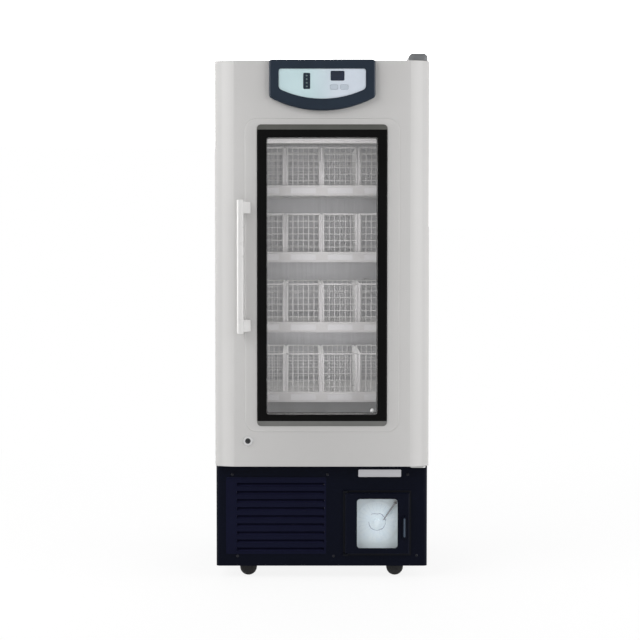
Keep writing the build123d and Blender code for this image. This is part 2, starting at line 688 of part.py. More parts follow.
def lock_strike():
    """Keeper on the cabinet face: the cam turns in behind its lip."""
    cam_end = LOCK_X - CAM_LENGTH
    web_x = cam_end - STRIKE_CLEAR
    lip_y = CAM_Y - STRIKE_GAP - STRIKE_SHEET
    z0 = LOCK_HEIGHT - CAM_WIDTH
    z1 = LOCK_HEIGHT + CAM_WIDTH
    lip = block(web_x - STRIKE_SHEET, cam_end + STRIKE_COVER, lip_y, lip_y + STRIKE_SHEET, z0, z1)
    web = block(web_x - STRIKE_SHEET, web_x, lip_y, FRONT, z0, z1)
    foot = block(web_x - STRIKE_FOOT, web_x, FRONT - STRIKE_SHEET, FRONT, z0, z1)
    return lip + web + foot


def hinge_brackets():
    """Top and bottom hinge plates with their pins."""
    x1 = HALF - COVER_INSET - COVER_WALL - TOUCH
    x0 = x1 - BRACKET_WIDTH
    y0 = PIVOT_Y - BRACKET_LEAD
    top = block(x0, x1, y0, FRONT + HINGE_REACH, BODY_TOP, BODY_TOP + BRACKET)
    top = fillet(top.edges().filter_by(Axis.Z), BRACKET_CORNER)
    top += rod(PIVOT_X, PIVOT_Y, DOOR_TOP - PIN_LENGTH, PIN_RADIUS, BODY_TOP - DOOR_TOP + PIN_LENGTH)
    z1 = DOOR_BOTTOM - BRACKET_GAP
    leg = CAVITY_HALF + SEAL_MARGIN + SEAL_WIDTH + BRACKET
    bottom = block(x0, x1, y0, FRONT, z1 - BRACKET, z1)
    bottom = fillet(bottom.edges().filter_by(Axis.Z).group_by(Axis.Y)[0], BRACKET_CORNER)
    bottom += block(leg, x1, FRONT - BRACKET_LEG_THICK, FRONT, z1, z1 + BRACKET_LEG)
    bottom += rod(PIVOT_X, PIVOT_Y, z1, PIN_RADIUS, DOOR_BOTTOM - z1 + PIN_LENGTH)
    return solids_of(top, bottom)


def hinge_bushes():
    """Plastic bushes in the door's top and bottom edges."""
    made = []
    for z in (DOOR_TOP - BUSH_LENGTH, DOOR_BOTTOM):
        bush = rod(PIVOT_X, PIVOT_Y, z, BUSH_RADIUS, BUSH_LENGTH)
        made.append(bush - rod(PIVOT_X, PIVOT_Y, z - 1, PIN_RADIUS + RUN_GAP, BUSH_LENGTH + 2))
    return solids_of(*made)


def hinge_cover():
    """Domed cap over the top hinge plate, with a short skirt where it hangs over the door."""
    x0 = HALF - COVER_INSET - COVER_WIDTH
    y0 = PIVOT_Y - COVER_LEAD
    depth = FRONT + HINGE_REACH + COVER_TAIL - y0
    low = BODY_TOP - COVER_SKIRT
    middle = Pos(x0 + COVER_WIDTH / 2, y0 + depth / 2, low)
    outline = RectangleRounded(COVER_WIDTH, depth, COVER_CORNER)
    inside = offset(outline, -COVER_WALL)
    cap = middle * extrude(outline, COVER_SKIRT + COVER_HEIGHT)
    cap = fillet(cap.faces().sort_by(Axis.Z)[-1].edges(), COVER_DOME)
    cap -= middle * extrude(inside, COVER_SKIRT + BRACKET)
    x1 = x0 + COVER_WIDTH
    return cap - block(x0 - 1, x1 + 1, FRONT - TOUCH, y0 + depth + 1, low - 1, BODY_TOP + TOUCH)


# Drawers

def drawer_tray(z):
    """Sheet tray with a rolled front lip, slots under the baskets and a runner on each side."""
    half = TRAY_WIDTH / 2
    t = TRAY_SHEET
    y0 = TRAY_Y
    y1 = TRAY_Y + TRAY_DEPTH
    lip_top = z + LIP_HEIGHT
    fold = y0 + LIP_RETURN
    lip = [
        (y0, z), (y0, lip_top), (fold, lip_top), (fold, lip_top - LIP_FOLD),
        (fold - t, lip_top - LIP_FOLD), (fold - t, lip_top - t),
        (y0 + t, lip_top - t), (y0 + t, z + t), (y1 - t, z + t), (y1 - t, z + TRAY_WALL),
        (y1, z + TRAY_WALL), (y1, z),
    ]
    tray = along_x(lip, -half, half)
    slot = BASKET_WIDTH - 2 * SLOT_MARGIN
    length = (TRAY_DEPTH - 2 * SLOT_END - SLOT_BAR) / 2
    for i in range(BASKETS):
        x = basket_x(i)
        for y in (y0 + SLOT_END, y1 - SLOT_END - length):
            tray -= block(x - slot / 2, x + slot / 2, y, y + length, z - 1, z + t + 1)
    out = half + RUNNER_REACH
    foot = z + RAIL_FOOT + t + TOUCH
    top = z + TRAY_WALL
    for side in (-1, 1):
        runner = [
            (side * (half - t), z), (side * half, z), (side * half, top - t), (side * (out - t), top - t),
            (side * (out - t), foot), (side * out, foot), (side * out, top), (side * (half - t), top),
        ]
        tray += along_y(runner, y0 + RUNNER_START, y1)
    return tray


def drawer_rails():
    """A channel on the liner for each end of each tray."""
    rails = []
    t = TRAY_SHEET
    inner = TRAY_WIDTH / 2 + RAIL_CLEAR
    y0 = TRAY_Y + RUNNER_START + RAIL_SETBACK
    for z in tray_heights():
        low = z + RAIL_FOOT
        high = low + RAIL_HEIGHT
        for side in (-1, 1):
            channel = [
                (side * CAVITY_HALF, low), (side * CAVITY_HALF, high), (side * inner, high),
                (side * inner, high - t), (side * (CAVITY_HALF - t), high - t),
                (side * (CAVITY_HALF - t), low + t), (side * inner, low + t), (side * inner, low),
            ]
            rails.append(along_y(channel, y0, CAVITY_BACK - RAIL_END))
    return solids_of(*rails)


def basket_x(i):
    """Centre of the basket number i, from the left."""
    return (i - (BASKETS - 1) / 2) * BASKET_PITCH


def lattice(width, height, columns, rows, bar):
    """A flat lattice: a rectangle with an even grid of openings."""
    hole_w = (width - (columns + 1) * bar) / columns
    hole_h = (height - (rows + 1) * bar) / rows
    holes = GridLocations(hole_w + bar, hole_h + bar, columns, rows) * Rectangle(hole_w, hole_h)
    return Rectangle(width, height) - holes


def basket():
    """An open wire basket, standing on z = 0 with its front at y = 0."""
    w, d, h = BASKET_WIDTH, BASKET_DEPTH, BASKET_HEIGHT
    wall = h - RIM_WIRE / 2
    shape = extrude(Pos(0, d / 2) * lattice(w, d, 1, 2, WIRE), WIRE)
    front = Pos(0, wall / 2) * lattice(w, wall, 3, 2, WIRE)
    shape += from_front(front, 0, WIRE)
    back = Pos(0, wall / 2) * lattice(w, wall, 1, 1, WIRE)
    shape += from_front(back, d - WIRE, WIRE)
    side = Pos(d / 2, wall / 2) * lattice(d, wall, 2, 1, WIRE)
    shape += extrude(Plane.YZ.offset(-w / 2) * side, WIRE)
    shape += extrude(Plane.YZ.offset(w / 2 - WIRE) * side, WIRE)
    rim = Pos(0, d / 2) * (Rectangle(w, d) - Rectangle(w - 2 * RIM_WIRE, d - 2 * RIM_WIRE))
    return shape + Pos(0, 0, h - RIM_WIRE) * extrude(rim, RIM_WIRE)


def tier_baskets(one, z):
    """The baskets of one drawer."""
    y = TRAY_Y + LIP_RETURN + BASKET_SETBACK
    return solids_of(*[Pos(basket_x(i), y, z + TRAY_SHEET) * one for i in range(BASKETS)])


# Inside the cavity

def air_duct_cover():
    """Sheets of the evaporator's cover: floor slotted under the fan, front with outlets, cheeks and back."""
    t = TRAY_SHEET
    half = DUCT_WIDTH / 2
    y1 = DUCT_Y + DUCT_DEPTH
    z0 = DUCT_Z0 + t
    floor = block(-half, half, DUCT_Y, y1, DUCT_Z0, z0)
    for i in range(FAN_SLOTS):
        x = (i - (FAN_SLOTS - 1) / 2) * FAN_SLOT_PITCH
        floor -= block(
            x - FAN_SLOT / 2, x + FAN_SLOT / 2, fan_y() - FAN_SLOT_REACH, fan_y() + FAN_SLOT_REACH,
            DUCT_Z0 - 1, z0 + 1,
        )
    front = block(-half, half, DUCT_Y, DUCT_Y + t, z0, CAVITY_Z1)
    for i in range(OUTLETS):
        z = DUCT_Z0 + OUTLET_BOTTOM + i * OUTLET_PITCH
        front -= block(-half + OUTLET_END, half - OUTLET_END, DUCT_Y - 1, DUCT_Y + t + 1, z, z + OUTLET)
    back = block(-half, half, y1 - t, y1, z0, CAVITY_Z1)
    cheeks = [block(x, x + t, DUCT_Y + t, y1 - t, z0, CAVITY_Z1) for x in (-half, half - t)]
    return solids_of(floor, front, back, *cheeks)


def fan_y():
    """Depth of the evaporator fan's axis."""
    return DUCT_Y + EVAPORATOR_FAN_RADIUS + FAN_BEHIND


def fin_pack(width, depth, height, fins):
    """A finned coil: end plates and raised fins on a core, centred in x and y, standing on z = 0."""
    pack = Pos(0, 0, height / 2) * Box(width, depth - 10, height - 12)
    gap = width / (fins - 1)
    for i in range(fins):
        x = -width / 2 + i * gap
        half = 1.0 if 0 < i < fins - 1 else 1.5
        pack += Pos(x, 0, height / 2) * Box(2 * half, depth, height)
    return pack


def evaporator_coil():
    width, depth, height = EVAPORATOR
    y = DUCT_Y + DUCT_DEPTH - TRAY_SHEET - depth / 2 - EVAPORATOR_BEHIND
    coil = fin_pack(width, depth, height, EVAPORATOR_FINS)
    top = CAVITY_Z1 - DUCT_Z0 - COLD_STAND
    strap, out = EVAPORATOR_STRAP
    half = strap / 2
    for x in (-out, out):
        coil += block(x - half, x + half, half - depth / 2, depth / 2 - half, height - half, top)
    return Pos(0, y, DUCT_Z0 + COLD_STAND) * coil


def fan(radius, hub, blades):
    """A fan about the Z axis, from z = 0 to FAN_DEPTH, with pitched blades."""
    wheel = Pos(0, 0, FAN_DEPTH / 2) * Cylinder(hub, FAN_DEPTH)
    outline = Polyline(
        (hub * 0.5, -9), (radius * 0.85, -24), (radius, -6), (radius, 15),
        (radius * 0.6, 19), (hub * 0.5, 9), close=True,
    )
    flat = extrude(make_face(outline), FAN_SHEET / 2, both=True)
    blade = Pos(0, 0, FAN_DEPTH / 2) * Rot(FAN_PITCH, 0, 0) * flat
    for i in range(blades):
        wheel += Rot(0, 0, i * 360 / blades) * blade
    return wheel


def evaporator_fan():
    wheel = fan(EVAPORATOR_FAN_RADIUS, 16, 5)
    return Pos(0, fan_y(), DUCT_Z0 + COLD_STAND) * wheel


def condenser_fan():
    wheel = fan(CONDENSER_FAN_RADIUS, 22, 5)
    return Pos(CONDENSER_X, fan_plane() - FAN_DEPTH / 2, fan_height()) * Rot(-90, 0, 0) * wheel


def fan_plane():
    """Depth of the middle of the condenser fan."""
    return condenser_back() + SHROUD_DEPTH / 2 + 4


def condenser_back():
    return BASE_FRONT + CONDENSER_BEHIND + CONDENSER[1]


def fan_height():
    return PAN_Z + PAN_SHEET + CONDENSER[2] / 2


def fan_motors():
    """The evaporator and condenser fan motors. Each carries its fan on a short shaft."""
    up = DUCT_Z0 + COLD_STAND + FAN_DEPTH + TOUCH
    cold = rod(0, fan_y(), up, MOTOR_RADIUS * 0.8, CAVITY_Z1 - up)
    y = fan_plane() + FAN_DEPTH / 2 + TOUCH
    warm = rod(CONDENSER_X, y, fan_height(), MOTOR_RADIUS, MOTOR_LENGTH, "Y")
    return solids_of(cold, warm)


def light_strip():
    """Lamp along the duct cover's front."""
    length, depth, height = LIGHT
    z0 = DUCT_Z0 - LIGHT_DROP
    y0 = DUCT_Y - depth
    profile = [
        (y0, z0 + LIGHT_BEVEL), (y0, z0 + height), (DUCT_Y, z0 + height), (DUCT_Y, z0), (y0 + LIGHT_BEVEL, z0),
    ]
    return along_x(profile, -length / 2, length / 2)


def sensor_bottle():
    """Liquid bottle with the temperature sensor, in a clip on the back wall."""
    z = BASE_TOP + SENSOR_Z
    y = CAVITY_BACK - SENSOR_RADIUS - SENSOR_BEHIND
    bottle = rod(SENSOR_X, y, z, SENSOR_RADIUS, SENSOR_HEIGHT)
    bottle += rod(SENSOR_X, y, z + SENSOR_HEIGHT, *SENSOR_CAP)
    width, height, up = SENSOR_CLIP
    x0 = SENSOR_X - width / 2
    return bottle + block(x0, x0 + width, y, CAVITY_BACK, z + up, z + up + height)


# Base

def front_grille():
    """Black front moulding: raised louvre field on the left, opening for the recorder on the right."""
    t = GRILLE_SHEET
    z0, z1 = GROUND_GAP, BASE_TOP
    outline = Pos(0, BASE_FRONT + GRILLE_DEPTH / 2) * Rectangle(2 * BASE_HALF, GRILLE_DEPTH)
    outline = fillet(outline.vertices().group_by(Axis.Y)[0], GRILLE_CORNER)
    inner = Pos(0, BASE_FRONT + t + GRILLE_DEPTH / 2) * Rectangle(2 * BASE_HALF - 2 * t, GRILLE_DEPTH)
    inner = fillet(inner.vertices().group_by(Axis.Y)[0], GRILLE_CORNER - t)
    shell = Pos(0, 0, z0) * extrude(outline, z1 - z0)
    shell -= Pos(0, 0, z0 + t) * extrude(inner, z1 - z0 - 2 * t)
    shell += panel(
        LOUVRE_LEFT - FIELD_LEFT, LOUVRE_RIGHT + FIELD_RIGHT,
        louvre_z(0) - FIELD_BELOW, louvre_z(LOUVRES) + FIELD_ABOVE,
        FIELD_CORNER, BASE_FRONT - FIELD_RISE, FIELD_RISE,
    )
    for i in range(LOUVRES):
        low = louvre_z(i)
        shell -= block(
            LOUVRE_LEFT, LOUVRE_RIGHT, BASE_FRONT - FIELD_RISE - 1, BASE_FRONT + t + 1, low, low + LOUVRE_GAP
        )
    for i in range(LOUVRES):
        shell += louvre_blade(louvre_z(i))
    for side in (-1, 1):
        shell -= rod(side * CASTOR_X, FRONT_CASTOR_Y, z0 - 1, CASTOR_SWEEP, t + 2)
    return shell - recorder_slab(0, BASE_FRONT - FIELD_RISE - 1, BASE_FRONT + GRILLE_DEPTH)


def louvre_z(i):
    """Lower edge of the slot number i, from the bottom."""
    return GROUND_GAP + LOUVRE_BOTTOM + i * LOUVRE_PITCH


def louvre_blade(low):
    """Blade that rises inwards from below its slot."""
    y0 = BASE_FRONT + TOUCH
    y1 = BASE_FRONT + BLADE_DEPTH
    start = low - BLADE_LAP
    end = low + LOUVRE_GAP - BLADE / 3
    profile = [(y0, start), (y0, start + BLADE), (y1, end + BLADE), (y1, end)]
    return along_x(profile, LOUVRE_LEFT, LOUVRE_RIGHT)


def recorder_slab(margin, y0, y1):
    """The recorder's outline, drawn in by a margin."""
    width, height = RECORDER_SIZE
    return block(
        RECORDER_X - width / 2 + margin, RECORDER_X + width / 2 - margin, y0, y1,
        RECORDER_HEIGHT - height / 2 + margin, RECORDER_HEIGHT + height / 2 - margin,
    )


def base_side_covers():
    """Black side sheets of the base."""
    y0 = BASE_FRONT + GRILLE_DEPTH
    made = []
    for side in (-1, 1):
        x0, x1 = sorted((side * BASE_HALF, side * (BASE_HALF - SHEET)))
        made.append(block(x0, x1, y0, BACK, GROUND_GAP, BASE_TOP))
    return solids_of(*made)


def rear_grille():
    """Slotted rear cover of the machine space, with the inlet's cut-out."""
    half = BASE_HALF - SHEET
    cover = block(-half, half, BACK - SHEET, BACK, GROUND_GAP, BASE_TOP)
    left, right = REAR_SLOT_ENDS
    for i in range(REAR_SLOTS):
        z = PAN_Z + REAR_SLOT_BOTTOM + i * REAR_SLOT_PITCH
        cover -= block(-half + left, half - right, BACK - SHEET - 1, BACK + 1, z, z + REAR_SLOT)
    return cover - inlet_cut(SHEET)


def inlet_cut(depth):
    """Cut-out for the power inlet in a sheet at the back."""
    width, height = INLET_SIZE
    return block(
        INLET_X - width / 2, INLET_X + width / 2, BACK - depth - 1, BACK + 1,
        INLET_Z - height / 2, INLET_Z + height / 2,
    )


def power_inlet():
    """Appliance inlet: a recessed socket with three flat pins."""
    width, height = INLET_SIZE
    x0, x1 = INLET_X - width / 2, INLET_X + width / 2
    z0, z1 = INLET_Z - height / 2, INLET_Z + height / 2
    body = block(x0, x1, BACK - 26, BACK, z0, z1)
    body += block(x0 - 10, x1 + 10, BACK, BACK + INLET_RIM, z0 - 3, z1 + 3)
    body -= block(x0 + 2, x1 - 2, BACK - 18, BACK + 3, z0 + 2, z1 - 2)
    for dx, dz in ((-7, -2), (0, 2), (7, -2)):
        body += block(
            INLET_X + dx - 1, INLET_X + dx + 1, BACK - 18, BACK - 4, INLET_Z + dz - 2, INLET_Z + dz + 2
        )
    return body


def base_chassis():
    """Steel pan under the machine, hung from the cabinet by four posts. Its front fits inside the grille."""
    half = BASE_HALF - SHEET
    narrow = BASE_HALF - GRILLE_SHEET - TOUCH
    y0 = BASE_FRONT + PAN_FRONT
    y1 = BACK - SHEET
    behind = BASE_FRONT + GRILLE_DEPTH + TOUCH
    lip_end = RECORDER_X - RECORDER_SIZE[0] / 2 - PAN_CLEAR
    pan = block(-half, half, behind, y1, PAN_Z, PAN_Z + PAN_SHEET)
    pan += block(-narrow, narrow, y0, behind, PAN_Z, PAN_Z + PAN_SHEET)
    pan += block(-narrow, lip_end, y0, y0 + PAN_SHEET, PAN_Z, PAN_Z + PAN_LIP)
    pan += block(-half, half, y1 - PAN_SHEET, y1, PAN_Z, PAN_Z + PAN_LIP)
    for x in (-half, half - POST):
        for y in (behind, y1 - POST):
            pan += block(x, x + POST, y, y + POST, PAN_Z, BASE_TOP)
    return pan


def castor_wheel(x, y, axle):
    """Wheel with a crowned tread, coned flanks and a bored hub, about an axle along X or Y."""
    r, w = WHEEL_RADIUS, WHEEL_WIDTH / 2
    points = [(AXLE_RADIUS + RUN_GAP, -w), (9, -w), (r - 4, -w + 2), (r, -w + 6)]
    profile = points + [(a, -b) for a, b in reversed(points)]
    outline = make_face(Polyline(*profile, close=True))
    wheel = revolve(Plane.XZ * outline, Axis.Z)
    turn = Rot(0, 90, 0) if axle == "X" else Rot(-90, 0, 0)
    return Pos(x, y, r) * turn * wheel


def castor_fork(swivels):
    """Fork about the Z axis with its wheel ahead at +X by the trail, and its axle."""
    gap = WHEEL_WIDTH / 2 + 1.0
    top = CASTOR_HEIGHT - CASTOR_PLATE - (SWIVEL_SEAT if swivels else 0.0)
    crown = top - 4.0
    leg = [
        (TRAIL - 8, WHEEL_RADIUS - 8), (TRAIL + 8, WHEEL_RADIUS - 8), (TRAIL + 10, WHEEL_RADIUS + 4),
        (SWIVEL_RADIUS - 4, crown), (-SWIVEL_RADIUS + 6, crown),
    ]
    fork = rod(0, 0, crown, SWIVEL_RADIUS, top - crown)
    for y in (-gap - FORK, gap):
        fork += along_y(leg, y, y + FORK)
    return fork + rod(TRAIL, -gap - FORK - 2, WHEEL_RADIUS, AXLE_RADIUS, 2 * (gap + FORK) + 4, "Y")


def castor_plate():
    """Square top plate, centred on the Z axis under the chassis."""
    size = CASTOR_PLATE_SIZE
    return Pos(0, 0, PAN_Z - CASTOR_PLATE / 2) * Box(size, size, CASTOR_PLATE)


def castor_brackets():
    """Front castors' plates with their swivel seats, and the rear castors' fixed forks."""
    made = []
    seat_z = CASTOR_HEIGHT - CASTOR_PLATE - SWIVEL_SEAT + TOUCH
    for side in (-1, 1):
        seat = rod(0, 0, seat_z, SWIVEL_RADIUS - 5, CASTOR_HEIGHT - CASTOR_PLATE - seat_z)
        made.append(Pos(side * CASTOR_X, FRONT_CASTOR_Y, 0) * (castor_plate() + seat))
        fixed = Pos(-TRAIL, 0, 0) * castor_fork(False) + castor_plate()
        made.append(Pos(side * CASTOR_X, REAR_CASTOR_Y, 0) * Rot(0, 0, 90) * fixed)
    return solids_of(*made)


def front_fork(side):
    """Front castor fork, turned so that its wheel stands side-on to the front."""
    turn = Rot(0, 0, 180) if side > 0 else Rot(0, 0, 0)
    return Pos(side * CASTOR_X, FRONT_CASTOR_Y, 0) * turn * castor_fork(True)


def compressor():
    """Welded hermetic compressor: belted shell, terminal cover, stubs and a plate on two feet."""
    r, h = COMPRESSOR_RADIUS, COMPRESSOR_HEIGHT
    profile = Polyline(
        (0, 16), (r * 0.7, 16), (r * 0.94, 36), (r * 0.94, h * 0.48), (r, h * 0.48), (r, h * 0.55),
        (r * 0.94, h * 0.57), (r * 0.94, h - 40), (r * 0.6, h - 6), (0, h), close=True,
    )
    shell = revolve(Plane.XZ * make_face(profile), Axis.Z)
    shell += Pos(0, 0, 12) * Box(2 * r, 1.3 * r, 8)
    for dx in (-0.85 * r, 0.85 * r):
        shell += Pos(dx, 0, 5) * Box(16, 1.1 * r, 10)
    shell += Pos(r * 0.98, 0, h * 0.5) * Box(28, 50, 64)
    for y in (-STUB_OFFSET, STUB_OFFSET):
        shell += rod(r / 2, y, STUB_HEIGHT, STUB_RADIUS, r / 2 + STUB_REACH, "X")
    return Pos(COMPRESSOR_X, COMPRESSOR_Y, PAN_Z + PAN_SHEET) * shell


def header_x():
    """Middle of the header at the condenser's right end."""
    return CONDENSER_X + (CONDENSER[0] + HEADER) / 2 + 1


def header_back():
    return condenser_back() - (CONDENSER[1] - HEADER) / 2


def condenser_coil():
    """Finned coil with an upright header at its right end."""
    width, depth, height = CONDENSER
    z = PAN_Z + PAN_SHEET
    coil = Pos(CONDENSER_X, condenser_back() - depth / 2, z) * fin_pack(width, depth, height, CONDENSER_FINS)
    x0 = CONDENSER_X + width / 2
    header = block(x0, header_x() + HEADER / 2, header_back() - HEADER, header_back(), z, z + height)
    return coil + header


def fan_shroud():
    """Plate behind the condenser with a round duct, and a bridge that holds the motor."""
    width, _, height = CONDENSER
    y0 = condenser_back()
    z0 = PAN_Z + PAN_SHEET
    x0, x1 = CONDENSER_X - width / 2, CONDENSER_X + width / 2
    ring_radius = CONDENSER_FAN_RADIUS + 4
    shroud = block(x0, x1, y0, y0 + 2, z0, z0 + height)
    shroud += rod(CONDENSER_X, y0, fan_height(), ring_radius + 2, SHROUD_DEPTH, "Y")
    shroud -= rod(CONDENSER_X, y0 - 1, fan_height(), ring_radius, SHROUD_DEPTH + 2, "Y")
    y1 = y0 + SHROUD_DEPTH
    bridge = block(x0 + 20, x1 - 20, y1, y1 + 3, fan_height() - 8, fan_height() + 8)
    bridge -= rod(CONDENSER_X, y1 - 1, fan_height(), MOTOR_RADIUS, 6, "Y")
    return shroud + bridge + rod_ring(y1)


def rod_ring(y):
    """Collar that clamps the condenser fan's motor."""
    outer = rod(CONDENSER_X, y, fan_height(), MOTOR_RADIUS + 4, 12, "Y")
    return outer - rod(CONDENSER_X, y - 1, fan_height(), MOTOR_RADIUS, 14, "Y")


def bent_tube(points):
    """A refrigerant tube along straight runs with bends."""
    tube = None
    for edge in FilletPolyline(*points, radius=TUBE_BEND).edges():
        section = Plane(origin=edge @ 0, z_dir=edge % 0) * Circle(TUBE_RADIUS)
        if edge.geom_type == GeomType.LINE:
            piece = extrude(section, edge.length)
        else:
            hub = Axis(edge.arc_center, (edge % 0).cross(edge % 1))
            piece = revolve(section, hub, (edge % 0).get_angle(edge % 1))
        tube = piece if tube is None else tube + piece
    return tube


def refrigerant_lines():
    """Discharge line to the condenser, drier line up into the foam, and suction line back down."""
    stub = COMPRESSOR_X + COMPRESSOR_RADIUS + STUB_REACH
    low = PAN_Z + PAN_SHEET + STUB_HEIGHT
    back = COMPRESSOR_Y + STUB_OFFSET
    turn = stub + TUBE_OUT
    suction = bent_tube([(stub, back, low), (turn, back, low), (turn, back, BASE_TOP)])
    front = COMPRESSOR_Y - STUB_OFFSET
    header = header_x()
    discharge = bent_tube([(stub, front, low), (header, front, low), (header, header_back(), low)])
    top = PAN_Z + PAN_SHEET + CONDENSER[2]
    middle = header_back() - HEADER / 2
    liquid = rod(header, middle, top, TUBE_RADIUS, BASE_TOP - top)
    liquid += rod(header, middle, top + 4, DRIER_RADIUS, min(DRIER_LENGTH, BASE_TOP - top - 8))
    return solids_of(suction, discharge, liquid)


def control_box():
    """Folded box for the electronics, with a lid seam."""
    width, depth, height = CONTROL_BOX
    x, y = BASE_HALF - CONTROL_BOX_AT[0], BASE_FRONT + CONTROL_BOX_AT[1]
    z = PAN_Z + PAN_SHEET
    box = block(x - width / 2, x + width / 2, y - depth / 2, y + depth / 2, z, z + height)
    seam = z + height - 22
    groove = block(x - width, x + width, y - depth, y + depth, seam, seam + 2)
    groove -= block(
        x - width / 2 + 1, x + width / 2 - 1, y - depth / 2 + 1, y + depth / 2 - 1, seam - 1, seam + 3
    )
    return box - groove


# Chart recorder

def recorder_body():
    """Open tub with a chart shelf and a spindle behind the chart."""
    y1 = RECORDER_Y + RECORDER_DEPTH
    tub = recorder_slab(0, RECORDER_Y, y1)
    tub -= recorder_slab(RECORDER_FLANGE, RECORDER_Y - 1, y1 - RECORDER_WALL)
    tub -= recorder_slab(RECORDER_WALL, RECORDER_Y + RECORDER_WALL, y1 - RECORDER_WALL)
    tub += recorder_lugs() + recorder_pins(RECORDER_PIN)
    plate_y = RECORDER_Y + CHART_DEPTH + CHART_THICK + TOUCH
    tub += recorder_slab(RECORDER_WALL, plate_y, plate_y + 2)
    tub += rod(RECORDER_X, RECORDER_Y + CHART_DEPTH - 4, RECORDER_HEIGHT, 2.5, 10, "Y")
    x, z = pen_pivot()
    tub += rod(x, RECORDER_Y + CHART_DEPTH - 8, z, 2.5, 14, "Y")
    return tub


def recorder_lugs():
    """Lugs above and below the door's left edge."""
    x0 = RECORDER_X - RECORDER_SIZE[0] / 2
    x1 = x0 + RECORDER_RIM + 2 * RECORDER_PIN_FROM_EDGE
    y0 = RECORDER_Y - TOUCH - RECORDER_DOOR
    half = RECORDER_SIZE[1] / 2
    thick = RECORDER_RIM - TOUCH
    low = block(x0, x1, y0, RECORDER_Y, RECORDER_HEIGHT - half, RECORDER_HEIGHT - half + thick)
    return low + block(x0, x1, y0, RECORDER_Y, RECORDER_HEIGHT + half - thick, RECORDER_HEIGHT + half)


def recorder_pins(radius):
    """Pins from the lugs into the door's top and bottom edges."""
    x = RECORDER_X - RECORDER_SIZE[0] / 2 + RECORDER_RIM + RECORDER_PIN_FROM_EDGE
    y = RECORDER_Y - TOUCH - RECORDER_DOOR + RECORDER_PIN_FROM_FACE
    length = RECORDER_RIM + RECORDER_PIN_DEPTH
    half = RECORDER_SIZE[1] / 2
    low = rod(x, y, RECORDER_HEIGHT - half, radius, length)
    return low + rod(x, y, RECORDER_HEIGHT + half - length, radius, length)


def pen_pivot():
    """Pen pivot, up and right of the chart's centre."""
    return RECORDER_X + CHART_RADIUS * 0.86, RECORDER_HEIGHT + CHART_RADIUS * 0.92


def chart_disc():
    """Paper disc with its clamping hub."""
    y = RECORDER_Y + CHART_DEPTH
    disc = rod(RECORDER_X, y, RECORDER_HEIGHT, CHART_RADIUS, CHART_THICK, "Y")
    disc += rod(RECORDER_X, y - 7, RECORDER_HEIGHT, HUB_RADIUS, 7, "Y")
    return disc - rod(RECORDER_X, y - 6, RECORDER_HEIGHT, 2.5 + RUN_GAP, 20, "Y")


def pen_arm():
    """Thin arm from its pivot towards the hub, with a bent pen tip."""
    x, z = pen_pivot()
    y = RECORDER_Y + CHART_DEPTH - 6
    arm = along_y([(-4, -3), (-4, 3), (PEN_LENGTH, 1.2), (PEN_LENGTH, -1.2)], 0, 1.2)
    arm += rod(0, -1, 0, 5, 3.5, "Y")
    arm += rod(PEN_LENGTH - 3, 0, 0, 1.2, 6 - TOUCH, "Y")
    arm -= rod(0, -5, 0, 2.5 + RUN_GAP, 20, "Y")
    angle = degrees(atan2(-CHART_RADIUS * 0.92, -CHART_RADIUS * 0.86)) + 9
    return Pos(x, y, z) * Rot(0, -angle, 0) * arm


def recorder_door_slab(margin, y0, y1):
    return recorder_slab(RECORDER_RIM + margin, y0, y1)


def recorder_door():
    """Framed door with a round-cornered window, an upright pull and a rebate for the pane."""
    y1 = RECORDER_Y - TOUCH
    y0 = y1 - RECORDER_DOOR
    frame = recorder_door_slab(0, y0, y1)
    frame = chamfer(frame.edges().group_by(Axis.Y)[0], 3)
    frame = chamfer(frame.edges().filter_by(Axis.Z).group_by(Axis.Y)[-1].sort_by(Axis.X)[0], 3.5)
    frame -= recorder_pins(RECORDER_PIN + RUN_GAP)
    width, height = RECORDER_WINDOW
    window = Pos(RECORDER_X, RECORDER_HEIGHT) * RectangleRounded(width, height, RECORDER_CORNER)
    frame -= from_front(window, y0 - 1, RECORDER_DOOR + 2)
    frame -= pane_slab(y0 + RECORDER_PANE, RECORDER_DOOR)
    pull_width, pull_height = PULL_SIZE
    x = RECORDER_X + width / 2 + PULL_BESIDE
    z = RECORDER_HEIGHT - PULL_DROP - pull_height / 2
    pull = block(x, x + pull_width, y0 - PULL_PROUD, y0 + 1, z, z + pull_height)
    pull = fillet(pull.edges().filter_by(Axis.Z).group_by(Axis.Y)[0], pull_width / 4)
    return frame + pull


def pane_slab(y, depth):
    """The pane's outline, wider than the window by its rebate."""
    width, height = RECORDER_WINDOW
    wide, high = width + 2 * PANE_REBATE, height + 2 * PANE_REBATE
    outline = Pos(RECORDER_X, RECORDER_HEIGHT) * RectangleRounded(wide, high, RECORDER_CORNER + PANE_REBATE)
    return from_front(outline, y, depth)


def recorder_pane():
    return pane_slab(RECORDER_Y - TOUCH - RECORDER_DOOR + RECORDER_PANE, RECORDER_PANE)


